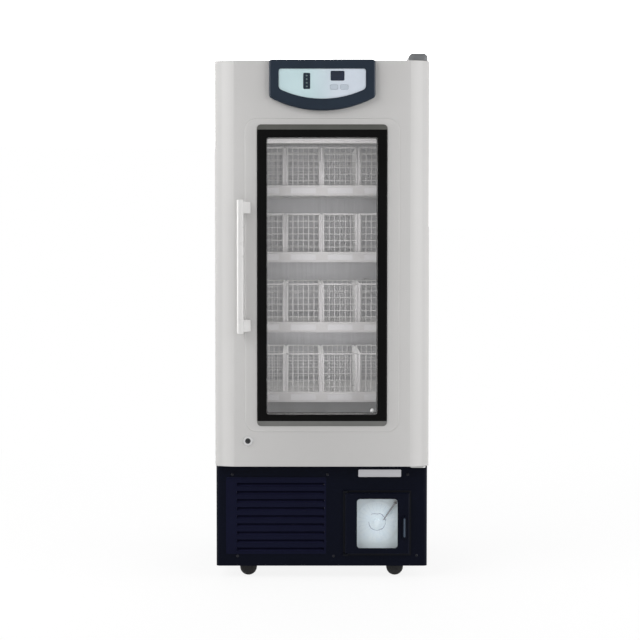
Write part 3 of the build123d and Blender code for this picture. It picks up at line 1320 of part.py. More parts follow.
def main():
    os.makedirs("parts", exist_ok=True)
    save("outer_shell", outer_shell())
    save("cabinet_foam", cabinet_foam())
    save("inner_liner", inner_liner())
    save("face_frame", face_frame())
    save("door_skin", door_skin())
    save("door_foam", door_foam())
    save("door_inner_frame", door_inner_frame())
    save("window_bezel", window_bezel())
    save("glass_panes", glass_panes())
    save("glass_spacer", glass_spacer())
    save("door_gasket", door_gasket())
    save("door_handle", door_handle())
    save("control_housing", control_housing())
    save("control_fascia", control_fascia())
    save("key_left", key(KEY_X[0]))
    save("key_right", key(KEY_X[1]))
    save("lock_housing", lock_housing())
    save("lock_barrel", lock_barrel())
    save("lock_strike", lock_strike())
    save("hinge_brackets", hinge_brackets())
    save("hinge_bushes", hinge_bushes())
    save("hinge_cover", hinge_cover())
    save("drawer_rails", drawer_rails())
    one_basket = basket()
    for number, z in enumerate(tray_heights(), start=1):
        save(f"drawer_tray_{number}", drawer_tray(z))
        save(f"wire_baskets_{number}", tier_baskets(one_basket, z))
    save("air_duct_cover", air_duct_cover())
    save("evaporator_coil", evaporator_coil())
    save("evaporator_fan", evaporator_fan())
    save("fan_motors", fan_motors())
    save("light_strip", light_strip())
    save("sensor_bottle", sensor_bottle())
    save("front_grille", front_grille())
    save("base_side_covers", base_side_covers())
    save("rear_grille", rear_grille())
    save("power_inlet", power_inlet())
    save("base_chassis", base_chassis())
    save("compressor", compressor())
    save("condenser_coil", condenser_coil())
    save("condenser_fan", condenser_fan())
    save("fan_shroud", fan_shroud())
    save("refrigerant_lines", refrigerant_lines())
    save("control_box", control_box())
    save("castor_brackets", castor_brackets())
    for side, name in ((-1, "left"), (1, "right")):
        save(f"castor_fork_{name}", front_fork(side))
        save(f"front_wheel_{name}", castor_wheel(side * (CASTOR_X - TRAIL), FRONT_CASTOR_Y, "Y"))
        save(f"rear_wheel_{name}", castor_wheel(side * CASTOR_X, REAR_CASTOR_Y, "X"))
    save("recorder_body", recorder_body())
    save("recorder_door", recorder_door())
    save("recorder_pane", recorder_pane())
    save("chart_disc", chart_disc())
    save("pen_arm", pen_arm())


main()
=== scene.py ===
import math
import bmesh
import bpy
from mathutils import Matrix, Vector


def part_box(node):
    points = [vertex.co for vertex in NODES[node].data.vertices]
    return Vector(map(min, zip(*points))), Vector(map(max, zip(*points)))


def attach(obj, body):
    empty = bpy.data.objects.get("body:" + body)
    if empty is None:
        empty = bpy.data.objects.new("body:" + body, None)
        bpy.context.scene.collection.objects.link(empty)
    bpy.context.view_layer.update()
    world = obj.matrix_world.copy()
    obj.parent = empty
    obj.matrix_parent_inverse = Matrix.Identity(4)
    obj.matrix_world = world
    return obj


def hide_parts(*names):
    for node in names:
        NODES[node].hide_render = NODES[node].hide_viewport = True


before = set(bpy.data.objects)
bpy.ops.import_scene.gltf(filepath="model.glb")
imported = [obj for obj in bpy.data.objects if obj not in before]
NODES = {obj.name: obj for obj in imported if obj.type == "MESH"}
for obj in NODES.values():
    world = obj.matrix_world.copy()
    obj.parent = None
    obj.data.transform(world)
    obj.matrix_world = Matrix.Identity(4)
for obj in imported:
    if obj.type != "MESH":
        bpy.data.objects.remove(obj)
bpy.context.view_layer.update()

# Sizes in metres, in the row frame: X right, Y into the depth, Z up.
MM = 0.001

# Boxes of the CAD's nodes, from which the pieces below take their places
DOOR_LO, DOOR_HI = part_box("door_skin")
BASE_LO, BASE_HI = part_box("front_grille")
BEZEL_LO, BEZEL_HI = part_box("window_bezel")
GLASS_LO, GLASS_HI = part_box("glass_panes")
FASCIA_LO, FASCIA_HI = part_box("control_fascia")
RECORDER_LO, RECORDER_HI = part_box("recorder_door")
CHART_LO, CHART_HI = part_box("chart_disc")
PANE_LO, PANE_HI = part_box("recorder_pane")

PANEL_RISE = 1.5 * MM           # raised panel round the window
DOOR_FACE = DOOR_LO.y + PANEL_RISE
FIELD_RISE = 2 * MM             # raised field round the louvres
BASE_FACE = BASE_LO.y + FIELD_RISE
PANE_LAP = 11 * MM              # glass behind the window's edge
WINDOW_X = GLASS_HI.x - PANE_LAP
WINDOW_Z = (GLASS_LO.z + PANE_LAP, GLASS_HI.z - PANE_LAP)

TIERS = (1, 2, 3, 4)            # from the lowest drawer up
BASKETS = 4
BASKET_PITCH = 109.0 * MM
BASKET_X = [(i - (BASKETS - 1) / 2) * BASKET_PITCH for i in range(BASKETS)]


# Mesh helpers

ROUND_SEGMENTS = 2
ROUND_ANGLE = math.radians(30)


def weigh_normals(piece):
    piece.modifiers.new("shade", "WEIGHTED_NORMAL").keep_sharp = True


def soften(piece, width):
    """Rounds a piece's sharp edges and shades it by weighted normals."""
    bevel = piece.modifiers.new("round", "BEVEL")
    bevel.width = width
    bevel.segments = ROUND_SEGMENTS
    bevel.limit_method = "ANGLE"
    bevel.angle_limit = ROUND_ANGLE
    weigh_normals(piece)


def make_piece(name, form, body, material, smooth=False, rounding=0.0):
    """Turns a drawn form into a piece that rides on a body."""
    bmesh.ops.recalc_face_normals(form, faces=form.faces)
    mesh = bpy.data.meshes.new(name)
    form.to_mesh(mesh)
    form.free()
    mesh.materials.append(material)
    for face in mesh.polygons:
        face.use_smooth = smooth
    piece = bpy.data.objects.new(name, mesh)
    bpy.context.scene.collection.objects.link(piece)
    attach(piece, body)
    if rounding:
        soften(piece, rounding)
    return piece


def spread(low, high, count):
    """Evenly spaced values with both ends included."""
    return [low + i * (high - low) / (count - 1) for i in range(count)]


def rounded_path(points, radius, steps, closed=False):
    """Runs between points with each corner turned in an arc."""
    path = []
    count = len(points)
    for i, here in enumerate(points):
        here = Vector(here)
        if not closed and i in (0, count - 1):
            path.append(here)
            continue
        before = (Vector(points[i - 1]) - here).normalized()
        after = (Vector(points[(i + 1) % count]) - here).normalized()
        half = before.angle(after) / 2
        reach = radius / math.tan(half)
        centre = here + (before + after).normalized() * (radius / math.sin(half))
        start = (here + before * reach - centre).normalized()
        end = (here + after * reach - centre).normalized()
        for k in range(steps + 1):
            path.append(centre + start.slerp(end, k / steps) * radius)
    return path


def bridge(form, rings, closed=False):
    """Faces from each ring of points to the next, and from the last to the first if closed."""
    for low, high in zip(rings, rings[1:] + rings[:1] if closed else rings[1:]):
        for k in range(len(low)):
            j = (k + 1) % len(low)
            form.faces.new((low[k], low[j], high[j], high[k]))


def tube(form, path, radius, sides, closed=False):
    """A round wire along a path, with its ends capped."""
    count = len(path)
    tangents = []
    for i in range(count):
        start = path[i - 1] if closed or i else path[i]
        end = path[(i + 1) % count] if closed or i < count - 1 else path[i]
        tangents.append((end - start).normalized())
    side = tangents[0].orthogonal().normalized()
    rings = []
    for point, tangent in zip(path, tangents):
        side = (side - tangent * side.dot(tangent)).normalized()
        across = tangent.cross(side)
        ring = []
        for k in range(sides):
            turn = 2 * math.pi * k / sides
            ring.append(form.verts.new(point + (side * math.cos(turn) + across * math.sin(turn)) * radius))
        rings.append(ring)
    bridge(form, rings, closed)
    if not closed:
        form.faces.new(rings[0][::-1])
        form.faces.new(rings[-1])


def slab(form, lo, hi):
    """A box between two corners."""
    corners = [(x, y, z) for x in (lo[0], hi[0]) for y in (lo[1], hi[1]) for z in (lo[2], hi[2])]
    made = [form.verts.new(corner) for corner in corners]
    for quad in ((0, 1, 3, 2), (4, 6, 7, 5), (0, 4, 5, 1), (2, 3, 7, 6), (0, 2, 6, 4), (1, 5, 7, 3)):
        form.faces.new([made[i] for i in quad])


def rounded_outline(x0, x1, z0, z1, radius, out=0.0, steps=6):
    """Points (x, z) round a rectangle with rounded corners, moved outward by a distance."""
    left, right = x0 + radius, x1 - radius
    low, high = z0 + radius, z1 - radius
    reach = radius + out
    outline = []
    for corner, (x, z) in enumerate(((right, high), (left, high), (left, low), (right, low))):
        for k in range(steps + 1):
            turn = math.pi / 2 * (corner + k / steps)
            outline.append((x + reach * math.cos(turn), z + reach * math.sin(turn)))
    return outline


def rounded_plate(form, x0, x1, z0, z1, radius, y0, y1, steps=6):
    """A plate that faces the front, with rounded corners, from y0 to y1."""
    outline = rounded_outline(x0, x1, z0, z1, radius, steps=steps)
    front = [form.verts.new((x, y0, z)) for x, z in outline]
    back = [form.verts.new((x, y1, z)) for x, z in outline]
    form.faces.new(front)
    form.faces.new(back[::-1])
    bridge(form, [front, back])


def frame_strip(form, x0, x1, z0, z1, radius, profile):
    """A strip round a rounded rectangle. Its profile is a closed run of (outward offset, y)."""
    rings = []
    for out, y in profile:
        outline = rounded_outline(x0, x1, z0, z1, radius, out)
        rings.append([form.verts.new((x, y, z)) for x, z in outline])
    bridge(form, rings, closed=True)


def facing(axis):
    """The turn that takes Z to an axis."""
    return Vector((0, 0, 1)).rotation_difference(Vector(axis)).to_matrix()


def lathe(form, profile, centre, axis, sides=32):
    """Turns a profile of (radius, height) about an axis through centre."""
    turn = facing(axis)
    rings = []
    for radius, height in profile:
        ring = []
        for k in range(sides if radius else 1):
            angle = 2 * math.pi * k / sides
            point = Vector((radius * math.cos(angle), radius * math.sin(angle), height))
            ring.append(form.verts.new(Vector(centre) + turn @ point))
        rings.append(ring)
    for low, high in zip(rings, rings[1:]):
        for k in range(sides):
            near = [low[k % len(low)], low[(k + 1) % len(low)]]
            quad = near + [high[(k + 1) % len(high)], high[k % len(high)]]
            kept = [point for i, point in enumerate(quad) if point not in quad[:i]]
            if len(kept) > 2:
                form.faces.new(kept)


# Shader helpers

def new_material(name):
    material = bpy.data.materials.new(name)
    material.use_nodes = True
    tree = material.node_tree
    return material, tree, tree.nodes["Principled BSDF"]


def srgb(*levels):
    """A colour of 0 to 255 levels as linear light."""
    made = []
    for level in levels:
        c = level / 255
        made.append(c / 12.92 if c <= 0.04045 else ((c + 0.055) / 1.055) ** 2.4)
    return tuple(made)


def math_node(tree, operation, first, second=None):
    """One operation on one or two values, each a number or a socket."""
    node = tree.nodes.new("ShaderNodeMath")
    node.operation = operation
    for socket, value in zip(node.inputs, (first, second)):
        if value is None:
            continue
        if isinstance(value, (int, float)):
            socket.default_value = value
        else:
            tree.links.new(value, socket)
    return node.outputs[0]


def object_place(tree):
    """A point's place in the piece's own frame."""
    return tree.nodes.new("ShaderNodeTexCoord").outputs["Object"]


def object_axis(tree, axis):
    """One coordinate of a point in the piece's own frame."""
    split = tree.nodes.new("ShaderNodeSeparateXYZ")
    tree.links.new(object_place(tree), split.inputs[0])
    return split.outputs[axis]


def noise(tree, scale, detail=4.0, stretch=(1, 1, 1)):
    """A noise texture fixed to the object, with its scale in features per metre."""
    mapping = tree.nodes.new("ShaderNodeMapping")
    mapping.inputs["Scale"].default_value = stretch
    tree.links.new(object_place(tree), mapping.inputs["Vector"])
    texture = tree.nodes.new("ShaderNodeTexNoise")
    texture.inputs["Scale"].default_value = scale
    texture.inputs["Detail"].default_value = detail
    tree.links.new(mapping.outputs["Vector"], texture.inputs["Vector"])
    return texture.outputs["Fac"]


def remap(tree, value, low, high, start=0.3, end=0.7):
    """Spreads a value from start to end over low to high. Noise lies mostly from 0.3 to 0.7."""
    node = tree.nodes.new("ShaderNodeMapRange")
    for socket, level in (("From Min", start), ("From Max", end), ("To Min", low), ("To Max", high)):
        node.inputs[socket].default_value = level
    tree.links.new(value, node.inputs["Value"])
    return node.outputs["Result"]


def uneven(tree, scale, low=0.0, high=1.0):
    """A level that wanders between two values over the object."""
    return remap(tree, noise(tree, scale), low, high)


def mix_colours(tree, factor, first, second):
    """A mix of two colours, each three numbers or a socket."""
    node = tree.nodes.new("ShaderNodeMix")
    node.data_type = "RGBA"
    tree.links.new(factor, node.inputs["Factor"])
    for socket, colour in ((node.inputs[6], first), (node.inputs[7], second)):
        if isinstance(colour, tuple):
            socket.default_value = (*colour, 1)
        else:
            tree.links.new(colour, socket)
    return node.outputs[2]


def mix_shaders(tree, factor, first, second):
    """Sends a mix of two shaders to the material's surface."""
    mix = tree.nodes.new("ShaderNodeMixShader")
    tree.links.new(factor, mix.inputs["Fac"])
    tree.links.new(first.outputs[0], mix.inputs[1])
    tree.links.new(second.outputs[0], mix.inputs[2])
    tree.links.new(mix.outputs[0], tree.nodes["Material Output"].inputs["Surface"])


def finish(tree, shader, colour, gloss, gloss_scale, specular, grain, grain_depth, stretch=(1, 1, 1)):
    """A colour under uneven gloss, from one roughness to another, and a fine grain."""
    tree.links.new(colour, shader.inputs["Base Color"])
    roughness = remap(tree, noise(tree, gloss_scale, stretch=stretch), *gloss)
    tree.links.new(roughness, shader.inputs["Roughness"])
    shader.inputs["Specular IOR Level"].default_value = specular
    if grain_depth:
        bump = tree.nodes.new("ShaderNodeBump")
        bump.inputs["Distance"].default_value = grain_depth
        tree.links.new(noise(tree, grain, detail=2.0, stretch=stretch), bump.inputs["Height"])
        tree.links.new(bump.outputs["Normal"], shader.inputs["Normal"])


def ray_is(tree, *kinds):
    """1 for a ray of any kind that is named."""
    path = tree.nodes.new("ShaderNodeLightPath")
    flag = path.outputs[f"Is {kinds[0]} Ray"]
    for kind in kinds[1:]:
        flag = math_node(tree, "MAXIMUM", flag, path.outputs[f"Is {kind} Ray"])
    return flag


def inside_band(tree, axis, low, high):
    """1 where a coordinate lies between two values."""
    value = object_axis(tree, axis)
    above = math_node(tree, "GREATER_THAN", value, low)
    return math_node(tree, "MULTIPLY", above, math_node(tree, "LESS_THAN", value, high))


def line_mask(tree, value, pitch, width):
    """1 on thin lines that repeat at a pitch."""
    wrapped = math_node(tree, "PINGPONG", value, pitch / 2)
    return math_node(tree, "LESS_THAN", wrapped, width / 2)


def polar_place(tree, centre):
    """A point's distance and angle about an axis along Y through centre."""
    x = math_node(tree, "SUBTRACT", object_axis(tree, "X"), centre.x)
    z = math_node(tree, "SUBTRACT", object_axis(tree, "Z"), centre.z)
    square = math_node(tree, "ADD", math_node(tree, "MULTIPLY", x, x), math_node(tree, "MULTIPLY", z, z))
    return math_node(tree, "SQRT", square), math_node(tree, "ARCTAN2", z, x)


# General finishes

def surface(name, colour, rough=0.4, metal=0.0, vary=0.06, vary_scale=6.0, grain=600.0,
            grain_depth=0.02 * MM, rough_vary=0.06, coat=0.0, stretch=(1, 1, 1), specular=0.5):
    """A paint, plastic or metal with uneven tone, uneven gloss and a fine grain."""
    material, tree, shader = new_material(name)
    tone = remap(tree, noise(tree, vary_scale, stretch=stretch), 0.0, 1.0)
    dark = tuple(c * (1 - vary) for c in colour)
    light = tuple(min(1.0, c * (1 + vary)) for c in colour)
    shader.inputs["Metallic"].default_value = metal
    shader.inputs["Coat Weight"].default_value = coat
    finish(tree, shader, mix_colours(tree, tone, dark, light), (rough - rough_vary, rough + rough_vary),
           vary_scale * 4, specular, grain, grain_depth, stretch)
    return material


def brushed(name, colour, rough, along):
    """Metal with fine lines along one axis."""
    stretch = tuple(0.02 if i == along else 1.0 for i in range(3))
    return surface(name, colour, rough=rough, metal=1.0, vary=0.10, vary_scale=400.0, grain=1500.0,
                   grain_depth=0.01 * MM, rough_vary=0.08, stretch=stretch)


GLASS_ROUGHNESS = (0.02, 0.035)


def glass(name, tint):
    """Clear glass that lets light and shadow rays straight through."""
    material, tree, shader = new_material(name)
    shader.inputs["Base Color"].default_value = (*tint, 1)
    shader.inputs["Transmission Weight"].default_value = 1.0
    shader.inputs["IOR"].default_value = 1.45
    tree.links.new(uneven(tree, 5.0, *GLASS_ROUGHNESS), shader.inputs["Roughness"])
    clear = tree.nodes.new("ShaderNodeBsdfTransparent")
    clear.inputs["Color"].default_value = (*tint, 1)
    mix_shaders(tree, ray_is(tree, "Shadow", "Diffuse"), shader, clear)
    return material


def glowing(name, colour, strength):
    """A lit milky diffuser."""
    material, tree, shader = new_material(name)
    shader.inputs["Base Color"].default_value = (*colour, 1)
    shader.inputs["Roughness"].default_value = 0.4
    shader.inputs["Emission Color"].default_value = (*colour, 1)
    level = uneven(tree, 30.0, strength * 0.9, strength * 1.1)
    tree.links.new(level, shader.inputs["Emission Strength"])
    return material


# Finishes that follow a part's form, some of them with painted light and painted highlights

BEZEL_SLOPE = 15 * MM           # width of the bezel's outer slopes


def bezel_material():
    """Black moulding whose wide outer slopes at the top and bottom are painted a dull grey, a painted sheen
    for light that the slopes catch.
    """
    material, tree, shader = new_material("bezel_plastic")
    middle = (BEZEL_LO.z + BEZEL_HI.z) / 2
    height = object_axis(tree, "Z")
    reach = math_node(tree, "ABSOLUTE", math_node(tree, "SUBTRACT", height, middle))
    slope = math_node(tree, "GREATER_THAN", reach, BEZEL_HI.z - middle - BEZEL_SLOPE)
    upper = math_node(tree, "GREATER_THAN", height, middle)
    tone = uneven(tree, 8.0)
    black = mix_colours(tree, tone, srgb(5, 5, 5), srgb(10, 10, 10))
    # Painted sheen on the slopes: a lighter grey on the lower slope and a darker grey on the upper one
    low = mix_colours(tree, tone, srgb(102, 103, 101), srgb(112, 112, 110))
    high = mix_colours(tree, tone, srgb(80, 81, 78), srgb(90, 90, 87))
    painted_sheen = mix_colours(tree, upper, low, high)
    finish(tree, shader, mix_colours(tree, slope, black, painted_sheen), gloss=(0.4, 0.52), gloss_scale=30.0,
           specular=0.05, grain=1500.0, grain_depth=0.03 * MM)
    return material


# Raised field round the louvres, and the louvres' own width
FIELD_X = (BASE_LO.x + 28.5 * MM, RECORDER_LO.x - 55.5 * MM)
FIELD_Z = (BASE_LO.z + 35.3 * MM, BASE_HI.z - 31.7 * MM)
SLOT_X = (BASE_LO.x + 60.5 * MM, RECORDER_LO.x - 61.5 * MM)
SLOT_DEPTH = 0.5 * MM


def base_material():
    """Near-black moulding with a bluer raised field, and louvre blades painted paler as painted light in the
    shaded slots.
    """
    material, tree, shader = new_material("base_dark")
    in_field = math_node(tree, "MULTIPLY", inside_band(tree, "X", *FIELD_X), inside_band(tree, "Z", *FIELD_Z))
    sunk = math_node(tree, "GREATER_THAN", object_axis(tree, "Y"), BASE_FACE + SLOT_DEPTH)
    in_slot = math_node(tree, "MULTIPLY", inside_band(tree, "X", *SLOT_X), sunk)
    in_slot = math_node(tree, "MULTIPLY", in_slot, in_field)
    tone = uneven(tree, 5.0)
    plain = mix_colours(tree, tone, srgb(5, 8, 19), srgb(8, 11, 24))
    field = mix_colours(tree, tone, srgb(12, 14, 32), srgb(15, 17, 37))
    # Painted light: the blades inside the slots are paler to stand for light that reaches into the shaded
    # slots
    painted_lit_blade = mix_colours(tree, tone, srgb(25, 26, 46), srgb(30, 31, 53))
    colour = mix_colours(tree, in_slot, mix_colours(tree, in_field, plain, field), painted_lit_blade)
    finish(tree, shader, colour, gloss=(0.36, 0.48), gloss_scale=20.0, specular=0.05, grain=1600.0,
           grain_depth=0.04 * MM)
    return material


# Painted light along the door's half width, for side light caught by the two sloping side strips, as (share
# of the half width, tone from 0 to 1)
STRIP_PAINTED_LIGHT = ((0.79, 0.5), (0.84, 0.66), (0.885, 0.85), (0.93, 0.6), (0.96, 0.25))


def door_material():
    """Door enamel with painted light: a little lighter along the middle of its two sloping side strips, where
    side light falls.
    """
    material, tree, shader = new_material("cabinet_enamel")
    side = math_node(tree, "ABSOLUTE", object_axis(tree, "X"))
    ramp = tree.nodes.new("ShaderNodeFloatCurve")
    tree.links.new(math_node(tree, "DIVIDE", side, DOOR_HI.x), ramp.inputs["Value"])
    curve = ramp.mapping.curves[0]
    for share, level in STRIP_PAINTED_LIGHT:
        curve.points.new(share, level)
    ramp.mapping.update()
    # The strips' painted light, with a little random tone added
    light = math_node(tree, "ADD", ramp.outputs["Value"], uneven(tree, 3.0, -0.04, 0.04))
    colour = mix_colours(tree, light, srgb(181, 180, 179), srgb(197, 196, 195))
    finish(tree, shader, colour, gloss=(0.38, 0.42), gloss_scale=12.0, specular=0.4, grain=900.0,
           grain_depth=0.015 * MM)
    return material


LIP_DEPTH = 4 * MM              # tray's front lip, front to back


def tray_material():
    """White powder coat, with the tray's floor behind its lip painted lighter than the lip, as painted light
    falling on the floor.
    """
    material, tree, shader = new_material("tray_white")
    lip_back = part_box("drawer_tray_1")[0].y + LIP_DEPTH
    behind = math_node(tree, "GREATER_THAN", object_axis(tree, "Y"), lip_back)
    tone = uneven(tree, 6.0)
    lip = mix_colours(tree, tone, srgb(210, 210, 207), srgb(217, 217, 214))
    # Painted light: the floor behind the lip is a lighter white than the lip
    floor = mix_colours(tree, tone, srgb(238, 238, 236), srgb(244, 244, 242))
    finish(tree, shader, mix_colours(tree, behind, lip, floor), gloss=(0.34, 0.46), gloss_scale=24.0,
           specular=0.5, grain=900.0, grain_depth=0.03 * MM)
    return material


FILM_BLEND = 40 * MM            # half width over which the film's two tones meet


def film_material():
    """Satin film of the control panel, a little greener on its left half."""
    material, tree, shader = new_material("fascia_film")
    side = remap(tree, object_axis(tree, "X"), 0.0, 1.0, start=-FILM_BLEND, end=FILM_BLEND)
    tone = uneven(tree, 12.0)
    left = mix_colours(tree, tone, srgb(180, 202, 206), srgb(190, 211, 215))
    right = mix_colours(tree, tone, srgb(192, 201, 211), srgb(200, 208, 218))
    finish(tree, shader, mix_colours(tree, side, left, right), gloss=(0.38, 0.48), gloss_scale=40.0,
           specular=0.3, grain=2500.0, grain_depth=0.01 * MM)
    return material


CHART_RING_PITCH = 4.5 * MM
CHART_RING_WIDTH = 0.35 * MM
CHART_ARM_TURN = 2 * math.pi / 24
CHART_ARM_WIDTH = 0.012         # radians
CHART_PRINT = (14 * MM, 57 * MM)        # radii between which the paper is printed
CHART_INK = 0.45
TRACE_RADIUS = 33 * MM
TRACE_WANDER = 16 * MM
TRACE_HALF_WIDTH = 0.6 * MM
TRACE_END = 2.2                 # radians


def chart_material():
    """Pale paper with printed rings and arms and a wandering pen trace."""
    material, tree, shader = new_material("chart_paper")
    radius, angle = polar_place(tree, (CHART_LO + CHART_HI) / 2)
    rings = line_mask(tree, radius, CHART_RING_PITCH, CHART_RING_WIDTH)
    arms = line_mask(tree, angle, CHART_ARM_TURN, CHART_ARM_WIDTH)
    outside = math_node(tree, "GREATER_THAN", radius, CHART_PRINT[0])
    inside = math_node(tree, "LESS_THAN", radius, CHART_PRINT[1])
    printed = math_node(tree, "MAXIMUM", rings, arms)
    printed = math_node(tree, "MULTIPLY", printed, math_node(tree, "MULTIPLY", outside, inside))
    printed = math_node(tree, "MULTIPLY", printed, CHART_INK)
    wander = math_node(tree, "MULTIPLY", noise(tree, 45.0, detail=6.0), TRACE_WANDER)
    away = math_node(tree, "SUBTRACT", math_node(tree, "ADD", radius, wander), TRACE_RADIUS)
    trace = math_node(tree, "LESS_THAN", math_node(tree, "ABSOLUTE", away), TRACE_HALF_WIDTH)
    trace = math_node(tree, "MULTIPLY", trace, math_node(tree, "LESS_THAN", angle, TRACE_END))
    paper = mix_colours(tree, uneven(tree, 40.0), srgb(231, 245, 255), srgb(238, 249, 255))
    inked = mix_colours(tree, printed, paper, srgb(140, 172, 200))
    inked = mix_colours(tree, trace, inked, srgb(60, 70, 120))
    tree.links.new(inked, shader.inputs["Base Color"])
    shader.inputs["Roughness"].default_value = 0.85
    return material


# Finishes of the door
DOOR_PAINT = door_material()
BEZEL_PLASTIC = bezel_material()
CLEAR_GLASS = glass("clear_glass", (0.984, 0.979, 0.984))
SPACER_BLACK = surface("spacer_black", srgb(18, 18, 20), rough=0.6, vary=0.1, grain=1500.0, specular=0.1)
SEAL = surface("seal_rubber", srgb(92, 94, 96), rough=0.7, vary=0.08, grain=1500.0, grain_depth=0.03 * MM)
HANDLE_PLASTIC = surface("handle_plastic", srgb(206, 205, 204), rough=0.32, vary=0.03, grain=1200.0,
                         grain_depth=0.01 * MM, coat=0.2)
CONTROL_DARK = surface("control_dark", srgb(30, 40, 52), rough=0.35, vary=0.12, grain=1200.0, specular=0.15)
FASCIA_FILM = film_material()
KEY_GREY = surface("key_grey", srgb(176, 186, 196), rough=0.55, vary=0.05, grain=2500.0)
DISPLAY_DARK = surface("display_dark", srgb(22, 32, 50), rough=0.12, vary=0.15, vary_scale=30.0,
                       grain_depth=0.0, rough_vary=0.03, coat=0.1, specular=0.25)
LAMP_LENS = surface("lamp_lens", srgb(70, 92, 92), rough=0.2, vary=0.1, vary_scale=80.0, coat=0.5)
CHROME = surface("chrome", srgb(200, 200, 200), rough=0.16, metal=1.0, vary=0.04, vary_scale=40.0,
                 grain_depth=0.0)
DARK_METAL = surface("dark_metal", srgb(52, 53, 55), rough=0.4, metal=0.6, vary=0.1, vary_scale=30.0)

# Finishes of the cabinet and its inside
SIDE_PAINT = surface("cabinet_side_enamel", srgb(189, 188, 187), rough=0.44, vary=0.012, vary_scale=3.0,
                     grain=700.0, grain_depth=0.03 * MM, rough_vary=0.02, specular=0.4)
PAINTED_SCREW = surface("painted_screw", srgb(176, 176, 175), vary=0.04, vary_scale=60.0)
HINGE_CAP = surface("hinge_cap", srgb(100, 102, 104), rough=0.5, vary=0.08, grain=1500.0,
                    grain_depth=0.03 * MM)
FRAME_PLASTIC = surface("frame_plastic", srgb(205, 205, 202), rough=0.5, vary=0.03, grain=1200.0)
FOAM = surface("foam", srgb(222, 210, 176), rough=0.9, vary=0.08, grain=300.0, grain_depth=0.3 * MM)
STAINLESS = brushed("stainless", srgb(207, 208, 210), 0.38, 2)
RAIL_METAL = brushed("rail_metal", srgb(186, 188, 190), 0.32, 1)
TRAY_WHITE = tray_material()
WIRE_WHITE = surface("wire_white", srgb(232, 232, 230), rough=0.35, vary=0.04, vary_scale=20.0, grain=800.0)
CARD = surface("label_card", srgb(226, 227, 226), rough=0.6, vary=0.03, vary_scale=20.0, grain=2000.0,
               grain_depth=0.01 * MM)
DUCT_WHITE = surface("duct_white", srgb(204, 204, 202), rough=0.45, vary=0.03, grain=1000.0)
LAMP = glowing("lamp_diffuser", (0.8, 0.79, 0.78), 0.25)
BOTTLE = surface("bottle_plastic", srgb(214, 216, 216), rough=0.3, vary=0.04, coat=0.3)
PLATED = surface("plated_steel", srgb(172, 173, 172), rough=0.35, metal=1.0, vary=0.08, vary_scale=25.0)

# Finishes of the base, the machine in it and the castors
BASE_DARK = base_material()
BASE_SHEET = surface("base_sheet", srgb(14, 16, 22), rough=0.5, vary_scale=3.0, grain=900.0,
                     grain_depth=0.03 * MM, rough_vary=0.02, specular=0.12)
BLACK_SCREW = surface("black_screw", srgb(26, 27, 34), vary=0.1, vary_scale=60.0, specular=0.2)
BLACK_PLASTIC = surface("black_plastic", srgb(12, 12, 13), rough=0.42, vary=0.2, grain=1500.0,
                        grain_depth=0.03 * MM, specular=0.15)
PLATE_METAL = brushed("plate_metal", srgb(176, 176, 180), 0.35, 0)
PAN_STEEL = surface("pan_steel", srgb(150, 152, 153), metal=0.9, vary=0.15, vary_scale=45.0)
COMPRESSOR_BLACK = surface("compressor_black", srgb(22, 22, 23), rough=0.3, vary=0.2, coat=0.3)
COPPER = surface("copper", srgb(190, 120, 84), rough=0.3, metal=1.0, vary=0.15, vary_scale=40.0)
FINS = surface("fins", srgb(170, 172, 174), rough=0.38, metal=1.0, vary=0.12, vary_scale=60.0)
FAN_BLACK = surface("fan_black", srgb(26, 26, 28), rough=0.5, vary=0.15, grain=1200.0)
CASTOR_BLACK = surface("castor_black", srgb(22, 22, 24), rough=0.38, vary=0.15, vary_scale=40.0,
                       grain=1200.0, specular=0.25)
TYRE = surface("tyre", srgb(26, 26, 27), rough=0.75, vary=0.15, grain=1500.0, grain_depth=0.05 * MM)

# Finishes of the chart recorder
RECORDER_BLACK = surface("recorder_black", srgb(8, 10, 16), rough=0.45, vary=0.2, grain=1500.0,
                         grain_depth=0.03 * MM, specular=0.1)
RECORDER_GLASS = glass("recorder_glass", (0.995, 1.0, 1.0))
# Grey of the painted highlight on the recorder door's catch
CATCH_HIGHLIGHT = surface("catch_painted_highlight", srgb(58, 70, 84), rough=0.35, vary=0.1, grain=1500.0, specular=0.3)
PEN_METAL = surface("pen_metal", srgb(120, 122, 128), rough=0.3, metal=0.8, vary=0.08, vary_scale=60.0)
CHART_PLATE = surface("chart_plate", srgb(234, 247, 255), rough=0.6, vary=0.02, vary_scale=20.0,
                      grain=1500.0)
CHART_PAPER = chart_material()

